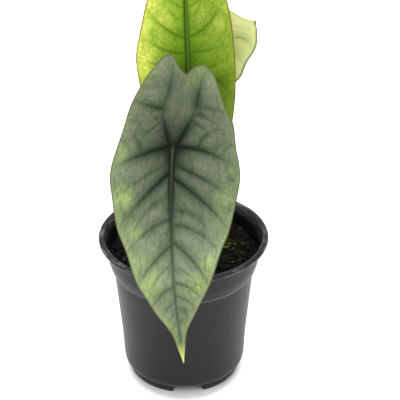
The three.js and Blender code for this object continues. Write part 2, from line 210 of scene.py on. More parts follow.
def softenProfile(points, between):
    # more points on a profile, on an even curve through those given
    points = np.array(points, float)
    steps = np.sqrt(np.linalg.norm(np.diff(points, axis=0), axis=1))
    reach = np.concatenate([[0], np.cumsum(steps)])
    x = np.interp(np.arange((len(points) - 1) * between + 1) / between, np.arange(len(points)), reach)
    return np.stack([smooth(reach, points[:, 0], x), smooth(reach, points[:, 1], x)], -1)


# Shader helpers


def feed(tree, socket, value):
    if isinstance(value, bpy.types.NodeSocket):
        tree.links.new(value, socket)
    else:
        socket.default_value = value


def mathNode(tree, operation, *values):
    node = tree.nodes.new("ShaderNodeMath")
    node.operation = operation
    for socket, value in zip(node.inputs, values):
        feed(tree, socket, value)
    return node.outputs[0]


def mixNode(tree, factor, first, second, blend="MIX"):
    node = tree.nodes.new("ShaderNodeMix")
    node.data_type = "RGBA"
    node.blend_type = blend
    node.clamp_factor = True
    feed(tree, node.inputs[0], factor)
    feed(tree, node.inputs[6], first)
    feed(tree, node.inputs[7], second)
    return node.outputs[2]


def rangeNode(tree, value, fromLow, fromHigh, toLow=0.0, toHigh=1.0):
    node = tree.nodes.new("ShaderNodeMapRange")
    node.interpolation_type = "SMOOTHSTEP"
    for index, item in enumerate((value, fromLow, fromHigh, toLow, toHigh)):
        feed(tree, node.inputs[index], item)
    return node.outputs[0]


def valueAttribute(tree, name):
    node = tree.nodes.new("ShaderNodeAttribute")
    node.attribute_name = name
    return node.outputs["Fac"]


def noiseNode(tree, vector, scale, detail=3.0, roughness=0.55, distortion=0.0):
    node = tree.nodes.new("ShaderNodeTexNoise")
    feed(tree, node.inputs["Vector"], vector)
    node.inputs["Scale"].default_value = scale
    node.inputs["Detail"].default_value = detail
    node.inputs["Roughness"].default_value = roughness
    node.inputs["Distortion"].default_value = distortion
    return node.outputs["Fac"]


def cellLines(tree, vector, scale, width):
    # the borders of a cell pattern, as lines
    node = tree.nodes.new("ShaderNodeTexVoronoi")
    node.feature = "DISTANCE_TO_EDGE"
    feed(tree, node.inputs["Vector"], scaledVector(tree, vector, scale))
    feed(tree, node.inputs["Scale"], 1.0)
    return rangeNode(tree, node.outputs["Distance"], 0.0, width, 1, 0)


def scaledVector(tree, vector, scale, shift=(0, 0, 0)):
    node = tree.nodes.new("ShaderNodeMapping")
    tree.links.new(vector, node.inputs["Vector"])
    node.inputs["Location"].default_value = shift
    node.inputs["Scale"].default_value = scale
    return node.outputs["Vector"]


def objectVector(tree):
    return tree.nodes.new("ShaderNodeTexCoord").outputs["Object"]


def heightOf(tree, vector):
    node = tree.nodes.new("ShaderNodeSeparateXYZ")
    tree.links.new(vector, node.inputs[0])
    return node.outputs["Z"]


def flatVector(tree):
    node = tree.nodes.new("ShaderNodeUVMap")
    node.uv_map = "flat"
    return node.outputs[0]


def newGroup(name, inputs, outputs):
    tree = bpy.data.node_groups.new(name, "ShaderNodeTree")
    kinds = {"colour": "NodeSocketColor", "value": "NodeSocketFloat", "vector": "NodeSocketVector"}
    for label, kind in inputs:
        tree.interface.new_socket(label, in_out="INPUT", socket_type=kinds[kind])
    for label, kind in outputs:
        tree.interface.new_socket(label, in_out="OUTPUT", socket_type=kinds[kind])
    start, end = tree.nodes.new("NodeGroupInput"), tree.nodes.new("NodeGroupOutput")
    return tree, start.outputs, end.inputs


def placeGroup(tree, group, **values):
    node = tree.nodes.new("ShaderNodeGroup")
    node.node_tree = group
    for label, value in values.items():
        feed(tree, node.inputs[label], value)
    return node.outputs


def newMaterial(name, specular):
    material = bpy.data.materials.new(name)
    material.use_nodes = True
    tree = material.node_tree
    shader = tree.nodes["Principled BSDF"]
    shader.inputs["Specular IOR Level"].default_value = specular
    return material, tree, shader


def finishMaterial(tree, shader, colour, roughness, height, strength, distance):
    feed(tree, shader.inputs["Base Color"], colour)
    feed(tree, shader.inputs["Roughness"], roughness)
    bump = tree.nodes.new("ShaderNodeBump")
    bump.inputs["Strength"].default_value = strength
    bump.inputs["Distance"].default_value = distance
    tree.links.new(height, bump.inputs["Height"])
    tree.links.new(bump.outputs["Normal"], shader.inputs["Normal"])


def paint(red, green, blue):
    # an 8-bit screen colour as a linear one
    channels = [value / 255 for value in (red, green, blue)]
    linear = [c / 12.92 if c <= 0.04045 else ((c + 0.055) / 1.055) ** 2.4 for c in channels]
    return (*linear, 1.0)


# Leaf finish. The blade carries its own masks as attributes: veinCore, veinHalo and veinShade
# round the veins, the last a painted shade along them; net, edge, glow (painted light through the
# blade), dim (painted shade in patches), deep, light (painted light and shade), band and bandEdge
# on the midrib, and tip. The group turns them into a colour, a height and a roughness.


leafColours = ["Flesh", "Silver", "Glow", "Vein", "Deep", "Band", "Margin", "Tip"]
leafShares = ["Silver share", "Vein share", "Net share", "Margin width", "Mottle share", "Shade share"]


def makeLeafGroup():
    inputs = [(label, "colour") for label in leafColours] + [(label, "value") for label in leafShares]
    outputs = [("Colour", "colour"), ("Height", "value"), ("Roughness", "value")]
    tree, given, made = newGroup("leafFinish", inputs, outputs)

    def times(first, second):
        return mathNode(tree, "MULTIPLY", first, second)

    def most(first, second):
        return mathNode(tree, "MAXIMUM", first, second)

    flat = flatVector(tree)
    core, halo, shade = (valueAttribute(tree, "vein" + part) for part in ("Core", "Halo", "Shade"))
    veinShare = given["Vein share"]
    alongVeins = tree.nodes.new("ShaderNodeCombineXYZ")
    feed(tree, alongVeins.inputs[0], valueAttribute(tree, "offMid"))
    feed(tree, alongVeins.inputs[1], valueAttribute(tree, "rowLine"))
    wobble = tree.nodes.new("ShaderNodeTexNoise")
    feed(tree, wobble.inputs["Vector"], flat)
    wobble.inputs["Scale"].default_value = 22
    shifted = tree.nodes.new("ShaderNodeVectorMath")
    shifted.operation = "MULTIPLY_ADD"
    feed(tree, shifted.inputs[0], wobble.outputs["Color"])
    shifted.inputs[1].default_value = (4, 4, 0)
    feed(tree, shifted.inputs[2], alongVeins.outputs[0])
    shifted = shifted.outputs[0]
    blotch = noiseNode(tree, flat, 8, 4, 0.6)
    cloud = noiseNode(tree, flat, 24, 4, 0.62, 0.4)
    grain = noiseNode(tree, flat, 210, 3, 0.6)
    crossing = noiseNode(tree, scaledVector(tree, shifted, (0.75, 0.12, 1)), 1.0, 5, 0.66)
    thread = noiseNode(tree, scaledVector(tree, shifted, (0.1, 0.9, 1)), 1.0, 4, 0.6)
    fineLine = cellLines(tree, shifted, (0.34, 0.3, 1), 0.12)
    tinyLine = cellLines(tree, shifted, (1.1, 1.0, 1), 0.2)

    silver = times(given["Silver share"], rangeNode(tree, blotch, 0.34, 0.62, 0.6, 1))
    colour = mixNode(tree, silver, given["Flesh"], given["Silver"])
    colour = mixNode(tree, times(shade, given["Shade share"]), colour, given["Vein"])
    patchy = rangeNode(tree, cloud, 0.28, 0.6, 0.6, 1)
    # painted light: glow mixes in the paler colour where light shines through the blade
    colour = mixNode(tree, times(valueAttribute(tree, "glow"), patchy), colour, given["Glow"])
    # painted shade: the dark patches darken the colour towards the vein colour
    colour = mixNode(tree, times(valueAttribute(tree, "dim"), veinShare), colour, given["Vein"])
    for pattern, low, high in ((crossing, 0.88, 1.12), (thread, 0.9, 1.1), (grain, 0.92, 1.09)):
        shades = rangeNode(tree, pattern, 0.3, 0.7, low, high)
        colour = mixNode(tree, given["Mottle share"], colour, shades, "MULTIPLY")
    netLine = most(times(valueAttribute(tree, "net"), 0.9), times(fineLine, 0.5))
    netLine = most(netLine, times(tinyLine, 0.22))
    colour = mixNode(tree, times(netLine, given["Net share"]), colour, given["Vein"])
    colour = mixNode(tree, times(halo, times(veinShare, 0.5)), colour, given["Vein"])
    colour = mixNode(tree, times(valueAttribute(tree, "deep"), veinShare), colour, given["Deep"])
    colour = mixNode(tree, times(core, times(veinShare, 0.68)), colour, given["Deep"])
    # painted light and shade: the light mask scales the colour up and down
    colour = mixNode(tree, 1.0, colour, valueAttribute(tree, "light"), "MULTIPLY")
    colour = mixNode(tree, valueAttribute(tree, "bandEdge"), colour, given["Deep"])
    colour = mixNode(tree, valueAttribute(tree, "band"), colour, given["Band"])
    rim = rangeNode(tree, valueAttribute(tree, "edge"), 0.3, given["Margin width"], 0.85, 0)
    colour = mixNode(tree, rim, colour, given["Margin"])
    colour = mixNode(tree, valueAttribute(tree, "tip"), colour, given["Tip"])
    feed(tree, made["Colour"], colour)
    height = mathNode(tree, "MULTIPLY_ADD", crossing, 0.7, times(fineLine, -0.5))
    height = mathNode(tree, "MULTIPLY_ADD", tinyLine, -0.3, height)
    height = mathNode(tree, "MULTIPLY_ADD", grain, 0.3, height)
    feed(tree, made["Height"], height)
    rough = mathNode(tree, "MULTIPLY_ADD", grain, 0.16, 0.42)
    feed(tree, made["Roughness"], mathNode(tree, "MULTIPLY_ADD", core, -0.06, rough))
    return tree


leafGroup = makeLeafGroup()


def leafMaterial(name, shares, specular, **colours):
    material, tree, shader = newMaterial(name, specular)
    values = {label: paint(*colour) for label, colour in colours.items()}
    made = placeGroup(tree, leafGroup, **values, **dict(zip(leafShares, shares)))
    finishMaterial(tree, shader, made["Colour"], made["Roughness"], made["Height"], 0.5, 0.0003)
    return material


# The leaves. Places on the flat blade are p across it and q along it from the stalk. rows is its
# layout from the tip to the notch, as in the part's source: start on the midline, left end, right
# end and angle. veins are drawn on it: start, bend and end, then width and strength. rowVeins
# follow the layout: row, side, width and strength. dips lower the blade: p, q, reach across and
# along, depth. light is painted light and shade along the blade, a gain on its colour, and the
# table after it paints the same across the blade. The spots after those are painted pools of
# light, or painted shade below zero, and the patches are painted light glowing through the blade,
# or painted shade below zero: p, q, radius and strength.

leafShape = {
    "curlSpan": 45,
    "waveReach": 30,
    "bezierLead": 0.45,
    "quiltRise": 1.2,
    "quiltReach": 5.2,
    "thickness": 0.75,
    "edgeThickness": 0.45,
    "ribDepth": 1.8,
    "maxDepth": 3.2,
    "haloWidth": 1.35,
    "shadeWidth": 4.2,
    "veinTaper": 0.5,
    "netCell": (4.6, 7.5),
    "rippleSize": 9,
    "rippleRise": 0.25,
    "stalkTop": 2.1,
    "stalkBase": 4.1,
}

frontLeaf = {
    "name": "frontLeaf",
    "node": "front_leaf",
    "slot": "silver_leaf",
    "columns": 48,
    "lines": 270,
    "spine": [
        [4.4, -1, 252.4], [2.6, -11, 239.8], [-1.8, -26, 221], [-6.5, -40, 201.2], [-7.9, -53, 176.3],
        [-7.9, -66, 145.2], [-6.3, -76, 113.2], [-3.3, -82, 85.1], [-0.4, -84.5, 59],
    ],
    "stalkTopIndex": 3,
    "across": [1, 0, 0],
    "fold": [-2, 13, 13, 8],
    "curl": [-18, -29, -26, -14],
    "wave": 1.1,
    "waveLength": 52,
    "dips": [],
    "rows": [
        [150.6, 0, 150.6, 0, 150.6, 85], [136, -1.9, 141.5, 1.7, 141.5, 60],
        [121, -5.8, 126, 5.4, 125.5, 50], [100, -14.2, 110, 13, 112, 36], [83, -18.8, 100, 20.2, 100, 32],
        [66, -24.9, 88, 25.6, 89.5, 27], [50, -30.5, 67.5, 33, 68.5, 18], [22, -35.6, 53, 38.6, 55, 18],
        [10.5, -38.7, 35.5, 43.6, 33.5, 22], [1.3, -40.4, 17.5, 45.1, 13.7, -4],
        [-0.6, -34.4, -4, 38, -18.5, -30], [-1.8, -31.5, -26.8, 28.2, -33, -58],
        [-2.8, -20.6, -54, 19.6, -48.6, -58], [-4.6, -11.5, -61.6, 11.9, -56.5, -60],
        [-28, -4.5, -52.4, 4.6, -54.3, -62], [-49.1, 0, -49.1, 0, -49.1, -75],
    ],
    "stalk": [
        [0.5, -5.5, 97.2], [0.2, -6, 120], [-2.2, -11, 158], [-4.6, -21, 186], [-6.4, -33.4, 197.8],
    ],
    "midrib": {
        "offset": 0, "width": 1.9, "bandEnd": 64, "bandWidth": 1.0,
        "darkLeft": 1, "darkRight": 1, "darkFade": 0.7,
    },
    "veins": [
        [-2.2, 0.1, -20.8, 6, -38, 14.6, 1.5, 1.0], [2.2, -0.1, 24.9, -3.6, 42.4, 13.2, 1.5, 1.0],
        [1.8, 11.2, 22.9, 20.2, 41.5, 33.2, 1.1, 0.75], [-1.6, 11, -17, 17.5, -36.5, 34, 0.9, 0.4],
        [1.4, 20.5, 24.5, 34.7, 37.4, 54.2, 1.35, 1.0], [-1.4, 17, -18, 31.8, -33.6, 50.6, 1.3, 1.0],
        [1.4, 41.5, 18.5, 41.3, 24, 57, 0.9, 0.6], [-1.2, 33.5, -16, 36.5, -23, 52, 0.85, 0.5],
        [1.4, 51, 20, 52.3, 31, 70.5, 1.05, 0.75], [-0.7, 47.6, -16.2, 51.1, -29, 67.5, 1.05, 0.75],
        [1, 63, 17.1, 74.6, 23.8, 96, 1.25, 1.0], [0, 65, -14.5, 74.5, -24.6, 92, 1.25, 1.0],
        [1, 80, 9.9, 80.8, 15, 92, 0.7, 0.45], [-0.8, 78, -12.8, 84.2, -17.6, 99.5, 0.8, 0.5],
        [1, 90.5, 12.1, 91.9, 18.2, 104, 0.95, 0.8], [-0.6, 93.5, -10.2, 95.4, -16, 106, 0.95, 0.75],
        [1, 99.5, 8.3, 102.7, 14, 110, 0.85, 0.65], [-0.6, 104, -6.5, 106.6, -10.4, 114, 0.8, 0.6],
        [0.8, 107, 6.7, 109.4, 8.8, 117.5, 0.7, 0.5], [-0.4, 110.8, -4.1, 113.1, -6.8, 119.5, 0.7, 0.5],
        [0.6, 116, 3.6, 118, 5.4, 124, 0.5, 0.4], [-0.5, 118, -3, 120.5, -4.6, 126, 0.5, 0.4],
        [-2.2, -1, -8, -12.1, -11.8, -23.3, 1.6, 0.95], [-11.8, -23.3, -7.6, -38, -9.8, -57, 1.05, 0.6],
        [-11.8, -23.3, -20.1, -22.8, -29.6, -26, 1.2, 0.9],
        [-11.8, -23.3, -15, -27, -14.4, -36, 0.8, 0.5],
        [-10.2, -18.1, -15.1, -15.8, -20, -10, 0.75, 0.45],
        [-21.7, 4.3, -22.6, -1.6, -28.5, -6, 0.7, 0.45], [-27.5, 7.6, -28.6, 2, -33.5, -1.5, 0.6, 0.35],
        [2.2, -1, 8.2, -15.4, 10.6, -29.1, 1.8, 1.0], [10.6, -29.1, 9, -39.5, 12.2, -52, 1.45, 0.9],
        [11.2, -28.7, 19.7, -29.7, 29, -28.6, 0.9, 0.6], [10.7, -23.7, 16.1, -24, 23, -20.4, 0.9, 0.6],
        [9.4, -19.3, 14.3, -18.3, 19, -13.6, 0.8, 0.55],
        [16.7, -2.4, 17.5, -10.3, 24.8, -16.2, 0.85, 0.55], [25, 0.4, 27, -6, 34, -9.5, 0.7, 0.4],
        [10.2, -36, 5.6, -39, 3.4, -46, 0.6, 0.3], [27.6, 0.6, 30.6, -6.2, 27.4, -12.2, 0.55, 0.4],
        [33.2, 3, 33.1, -4.6, 38.7, -9.3, 0.55, 0.35], [8.1, -17, 15.2, -17.3, 20.9, -14.2, 0.65, 0.55],
        [24.2, -16, 28.5, -20, 31, -14, 0.5, 0.35], [-21.2, 5.3, -19.7, -0.9, -26.8, -2.5, 0.6, 0.45],
        [-9.8, -16.7, -14, -7.9, -22.6, -3.9, 0.6, 0.5],
        [-7.8, -12.7, -10.7, -8.3, -13.9, -4.2, 0.55, 0.4],
        [-24.4, -14, -27.5, -10, -31, -11.5, 0.5, 0.3], [7.5, 11.5, 14.9, 15, 22.1, 19, 0.6, 0.35],
        [-15.4, 8.4, -18.7, 13.9, -15.4, 20.4, 0.5, 0.3], [35.6, 10.1, 38.5, 16.7, 36, 23.5, 0.5, 0.3],
        [1, 54.5, -4.6, 62.5, -14.5, 66.9, 0.6, 0.3],
    ],
    "rowVeins": [],
    "glow": {"reach": 5, "upper": 0.25, "lower": 0.36, "left": 1, "right": 0.9},
    "deep": {"middle": 5, "squash": 0.66, "reach": 13, "veinReach": 32, "strength": 1},
    "light": [
        [-60, 0.84], [-10, 0.84], [15, 0.95], [40, 1.0], [70, 1.42], [95, 1.5], [120, 1.34], [150, 1.1],
    ],
    "paintedLightAcross": [[-45, 1.1], [-25, 1], [25, 1], [45, 1.05]],
    "paintedLightSpots": [
        [-14, -31, 6, 0.3], [-17, -51, 8, 0.28], [14, -44, 9, 0.35], [11, -37, 7, 0.12],
        [-34, 12, 8, 0.3], [-34, 36, 9, 0.2], [-9, 82, 8, 0.15], [19, 94, 8, -0.25], [-9, 102, 8, -0.22],
        [8, 108, 8, -0.15], [0, 132, 10, -0.15], [-9, -3, 8, -0.2], [0, -16, 9, -0.15],
        [4, -50, 7, -0.18], [-18, 92, 8, -0.08], [4, -26, 6, 0.2], [5, 1.5, 5, -0.35], [-5, 1, 4, -0.2],
    ],
    "paintedLightPatches": [
        [-34, 5, 6, 0.5], [-35, 13, 5, 0.2], [-32, 33, 7, 0.72], [36, 32, 7, 0.5], [39, 13, 5, 0.3],
        [-24, 55, 6, 0.45], [33, 45, 6, 0.3], [-19, 75, 8, 0.25], [-17, 91, 9, 0.54], [18, 93, 9, 0.54],
        [24, 76, 6, 0.55], [9, -52, 5, 0.6], [4, -47, 5, 0.45], [-9, 104, 6, 0.15], [10, 106, 6, 0.15],
        [8, -57, 5, 0.4], [0, -30, 6, -0.2], [-10, -38, 7, -0.25], [12, -36, 8, -0.2], [-3, 62, 6, -0.2],
        [3, 38, 8, -0.25],
    ],
    "tipStart": 131,
    "coreWidth": 0.36,
}

backLeaf = {
    "name": "backLeaf",
    "node": "back_leaf",
    "slot": "green_leaf",
    "columns": 42,
    "lines": 240,
    "spine": [
        [3.7, -9, 170.3], [3.5, -4, 194.6], [3.3, 3, 219.6], [3.1, 9, 240.4], [2.5, 14, 254.2],
        [1.6, 23, 277.6], [0.5, 36, 307.6], [-0.9, 53, 339.3],
    ],
    "stalkTopIndex": 2,
    "across": [-1, 0, 0],
    "fold": [2, 12, 11, 8],
    "curl": [-20, -29, -26, -20],
    "wave": 1,
    "waveLength": 47,
    "dips": [],
    "rows": [
        [130.1, 0, 130.1, 0, 130.1, 85], [117, -3.1, 118.5, 2.9, 118.5, 55],
        [104, -7.8, 104, 7.4, 103.5, 48], [84, -15.9, 86.5, 14.6, 86, 42],
        [68, -22.8, 72.5, 20.5, 71.5, 38], [55, -28, 60.7, 25.4, 60.7, 34],
        [36.5, -30.6, 47, 28.9, 48, 20], [26, -31.8, 33, 31.8, 37, 14], [14, -32.3, 22, 34.1, 25.9, 12],
        [4, -32.5, 8, 33.5, 15, 0], [-0.5, -32.1, -4.3, 31.3, 0.7, -20],
        [-1.6, -29.8, -22.9, 27.2, -17.6, -48], [-2.6, -25.5, -35.4, 22.5, -32.4, -58],
        [-4, -18.4, -44.3, 16.5, -43, -60], [-14, -8.4, -39.6, 8.1, -39.1, -62],
        [-26.1, 0, -26.1, 0, -26.1, -75],
    ],
    "stalk": [[-4.5, 3.4, 97.2], [-3, 7, 130], [0, 12, 176], [2.6, 13.4, 204], [3.2, 9.2, 217.2]],
    "midrib": {
        "offset": -0.7, "width": 2.6, "bandEnd": 85, "bandWidth": 0.85,
        "darkLeft": 0.6, "darkRight": 1, "darkFade": 0,
    },
    "veins": [
        [0.6, 36.3, 15.9, 40.8, 26, 58, 1.2, 1.0], [0.4, 46.6, 10.9, 50.6, 15, 65, 0.8, 0.5],
        [0.2, 56.3, 8, 57, 15.5, 71, 0.95, 0.65], [0.8, 26.4, 16.7, 26, 30, 40.5, 1.0, 0.75],
        [1, 11, 18, 17, 32.6, 25.5, 0.9, 0.6], [1.5, 0, 18, 0, 32.6, 10, 1.35, 1.0],
        [-2.2, 36.8, -18.2, 42.5, -25.6, 62, 1.2, 0.95], [-2.2, 48.4, -9.4, 53.5, -14.5, 67, 0.8, 0.5],
        [-2.2, 57, -9.8, 58.5, -17.5, 73, 0.95, 0.65], [-2.6, 38, -12.1, 39.7, -22.4, 36.4, 0.7, 0.45],
        [-2.2, 26.8, -14.9, 26.9, -29, 31.4, 0.9, 0.6], [-2, 1, -15, 6.5, -32.2, 13.4, 1.35, 0.95],
        [-21.5, 8.1, -25.2, 3.6, -30.4, -4, 0.75, 0.5], [-2, 14, -14, 15, -31, 24, 0.8, 0.45],
        [1.6, -0.6, 6.4, -10, 8.6, -20, 1.4, 1.0], [8.6, -20, 8, -30, 13, -40, 1.1, 0.8],
        [8.6, -20, 16, -18, 25.5, -18, 1.0, 0.7], [-1.6, -0.6, -6.4, -10, -8.6, -20, 1.4, 1.0],
        [-8.6, -20, -8, -30, -14, -42, 1.1, 0.8], [-8.6, -20, -16, -19, -27, -22, 1.0, 0.7],
    ],
    "rowVeins": [
        [1, -1, 0.6, 0.5], [1, 1, 0.6, 0.5], [2, -1, 0.8, 0.65], [2, 1, 0.8, 0.65],
        [2.5, -1, 0.6, 0.4], [2.5, 1, 0.6, 0.4], [3, -1, 1.0, 0.8], [3, 1, 1.0, 0.8],
        [3.5, -1, 0.6, 0.4], [3.5, 1, 0.6, 0.4],
    ],
    "glow": {"reach": 8, "upper": 0.8, "lower": 0.8, "left": 0.25, "right": 1},
    "deep": {"middle": 3, "squash": 0.85, "reach": 9, "veinReach": 26, "strength": 0.45},
    "light": [[-60, 0.9], [0, 0.95], [20, 0.95], [45, 1.06], [80, 1.1], [130, 1.1]],
    "paintedLightAcross": [[-34, 0.98], [-10, 0.97], [8, 1.08], [22, 1.3], [34, 1.45]],
    "paintedLightSpots": [[30, 16, 9, 0.2], [-29, -6, 10, -0.1], [-24, 22, 10, 0.1], [-9, 48, 7, -0.1]],
    "paintedLightPatches": [
        [24, 58, 9, 0.9], [27, 48, 8, 0.6], [29, 26, 9, 0.9], [28, 15, 9, 0.85], [16, 50, 9, 0.5],
        [20, 36, 6, 0.3], [-23, 45, 7, 0.4], [-10, 52, 8, 0.3], [-26, 57, 7, 0.4], [12, 70, 9, 0.4],
        [-5, 24, 9, -0.6], [5, 22, 9, -0.5], [-25, 9, 9, -0.5], [-19, 21, 8, -0.25], [-4, 44, 5, -0.4],
        [4, 40, 6, -0.35], [-14, 4, 9, -0.4], [9, 8, 9, -0.3],
    ],
    "tipStart": 122,
    "coreWidth": 0.5,
}

sideLeaf = {
    "name": "sideLeaf",
    "node": "side_leaf",
    "slot": "pale_leaf",
    "columns": 34,
    "lines": 204,
    "spine": [
        [21.5, 17.5, 217.2], [23, 23.5, 229.7], [24.9, 31.1, 241.4], [27.1, 40, 251.9],
        [28.9, 47.4, 256.6], [31.1, 55.9, 257.1], [33.2, 64.3, 252.2], [35.5, 73.6, 239.6],
        [37.4, 81.4, 221.3], [38.8, 86.8, 198],
    ],
    "stalkTopIndex": 3,
    "across": [-0.927, 0.15, 0.375],
    "fold": [2, 4, 4, 4],
    "curl": [-11, -14, -20, -26],
    "wave": 0.8,
    "waveLength": 38,
    "dips": [[-11, 20, 8.5, 24, 3.4]],
    "rows": [
        [87.5, 0, 87.5, 0, 87.5, 85], [76, -3.4, 78, 3.3, 78, 55], [61, -10.4, 63.5, 10, 63.5, 46],
        [46, -16.2, 47.5, 16, 48, 38], [32, -19.8, 30, 20.2, 33, 28], [19, -22.6, 15.5, 23.2, 19.5, 16],
        [9, -24.7, 2, 24.8, 6, 2], [0.5, -25.5, -11.4, 25.4, -8, -24],
        [-1.4, -20.4, -24, 23.2, -21.5, -46], [-2.4, -17.3, -34.6, 16.6, -34.8, -57],
        [-4, -11.6, -39.2, 9.6, -39, -60], [-14, -4.4, -34.6, 3.8, -34, -64], [-26, 0, -26, 0, -26, -75],
    ],
    "stalk": [[5.2, 3.4, 97.2], [6.6, 7.4, 130], [12.5, 19, 180], [20.4, 36, 224], [25.6, 44.4, 244.5]],
    "midrib": {
        "offset": 0, "width": 2.2, "bandEnd": 40, "bandWidth": 0.8,
        "darkLeft": 1, "darkRight": 1, "darkFade": 0,
    },
    "veins": [
        [-1.2, -0.6, -5, -6.5, -9.6, -7.2, 0.9, 0.9], [-9.6, -7.2, -18.1, -4.9, -23.6, -14, 0.95, 0.9],
        [-1.2, 0.6, -12.8, 3.4, -22.6, 1.5, 0.7, 0.35], [-1, 2, -8, 8.4, -14.6, 14.2, 0.65, 0.55],
        [1.2, -0.6, 15, -2, 24.6, -9.5, 0.9, 0.8], [1.2, -0.8, 5, -9, 7.4, -18, 1.0, 0.9],
        [7.4, -18, 7.6, -27, 10, -37, 0.9, 0.7], [7.4, -18, 14, -17, 20.6, -23, 0.8, 0.6],
        [-1.2, -0.8, -5, -9, -7.4, -18, 1.0, 0.9], [-7.4, -18, -7.6, -27, -11.4, -37, 0.9, 0.7],
        [-7.4, -18, -13, -18, -18.6, -27, 0.8, 0.6],
    ],
    "rowVeins": [
        [1, -1, 0.5, 0.45], [1, 1, 0.5, 0.45], [2, -1, 0.7, 0.6], [2, 1, 0.7, 0.6], [3, -1, 0.8, 0.7],
        [3, 1, 0.8, 0.7], [4, -1, 0.85, 0.75], [4, 1, 0.85, 0.75], [5, -1, 0.85, 0.75], [5, 1, 0.85, 0.75],
        [6, 1, 0.8, 0.6],
    ],
    "glow": {"reach": 6, "upper": 0.5, "lower": 0.5, "left": 1, "right": 1},
    "deep": {"middle": 3, "squash": 0.85, "reach": 6, "veinReach": 18, "strength": 0.25},
    "light": [[-40, 1.05], [0, 1], [40, 1], [88, 1]],
    "paintedLightAcross": [[-26, 1.05], [0, 0.98], [26, 1.05]],
    "paintedLightSpots": [[-4, 18, 12, 0.12]],
    "paintedLightPatches": [[-12, 8, 8, 0.5], [-17, -26, 8, 0.5], [14, 10, 9, 0.4], [0, 40, 12, 0.4]],
    "tipStart": 82,
    "coreWidth": 0.5,
}


def bladeSurface(leaf):
    spine = np.array(leaf["spine"], float)
    along = np.concatenate([[0], np.cumsum(np.linalg.norm(np.diff(spine, axis=0), axis=1))])
    knots = along - along[leaf["stalkTopIndex"]]
    first = leaf["rows"][-1][0]
    bendKnots = [min(q, first) if q < 0 else q for q in (-60, 0, 60, 120)]
    across = np.array(leaf["across"], float)

    def centreAt(q):
        return np.stack([smooth(knots, spine[:, axis], q) for axis in range(3)], -1)

    def surface(p, q):
        tangent = unit(centreAt(q + 0.5) - centreAt(q - 0.5))
        side = unit(across - (tangent @ across)[..., None] * tangent)
        up = np.cross(tangent, side)
        reach = np.abs(p)
        fold = np.radians(smooth(bendKnots, leaf["fold"], q))
        curl = np.radians(smooth(bendKnots, leaf["curl"], q)) / leafShape["curlSpan"]
        out = (np.sin(fold + curl * reach) - np.sin(fold)) / curl
        phase = 2 * np.pi * q / leaf["waveLength"] + np.where(p < 0, 1.4, 0)
        wave = leaf["wave"] * (reach / leafShape["waveReach"]) ** 2 * np.sin(phase)
        rise = (np.cos(fold) - np.cos(fold + curl * reach)) / curl + wave
        for dipP, dipQ, across0, along0, deep in leaf["dips"]:
            rise = rise - deep * hump((p - dipP) / across0, 1) * hump((q - dipQ) / along0, 1)
        return centreAt(q) + (np.sign(p) * out)[..., None] * side + rise[..., None] * up

    return surface


def surfaceNormal(surface, p, q):
    alongBlade = surface(p, q + 0.3) - surface(p, q - 0.3)
    acrossBlade = surface(p + 0.3, q) - surface(p - 0.3, q)
    return unit(np.cross(alongBlade, acrossBlade))


def flatPoint(leaf, row, side, reach):
    rows = np.array(leaf["rows"], float)
    knots = np.arange(len(rows))
    start = steady(rows[:, 0], row)
    endP = np.where(side < 0, smooth(knots, rows[:, 1], row), smooth(knots, rows[:, 3], row))
    endQ = np.where(side < 0, smooth(knots, rows[:, 2], row), smooth(knots, rows[:, 4], row))
    lean = np.radians(smooth(knots, rows[:, 5], row))
    lead = leafShape["bezierLead"] * np.hypot(endP, endQ - start)
    bendP = side * lead * np.cos(lean)
    bendQ = start + lead * np.sin(lean)
    rest = 1 - reach
    p = 2 * rest * reach * bendP + reach**2 * endP
    q = rest**2 * start + 2 * rest * reach * bendQ + reach**2 * endQ
    return p, q


def veinLines(leaf):
    lines = [(arc(vein[0:2], vein[2:4], vein[4:6]), *vein[6:]) for vein in leaf["veins"]]
    reach = np.linspace(0, 0.94, 14)
    for row, side, width, strength in leaf["rowVeins"]:
        p, q = flatPoint(leaf, np.full(14, float(row)), np.full(14, side), reach)
        lines.append((np.stack([p, q], -1), width, strength))
    return lines


def netPattern(offMid, rowLine, side):
    # ridges between the cells of a net that runs with the side veins
    values = np.empty(len(offMid))
    wide, long = leafShape["netCell"]
    for i, (x, y, z) in enumerate(zip(offMid / wide, rowLine / long, side * 7.3)):
        shift = noise.noise(Vector((x * 0.9, y * 0.9, z))) * 0.5
        distances, _ = noise.voronoi(Vector((x + shift, y - shift, z)))
        values[i] = distances[1] - distances[0]
    return 1 - ease(values, 0.0, 0.17)


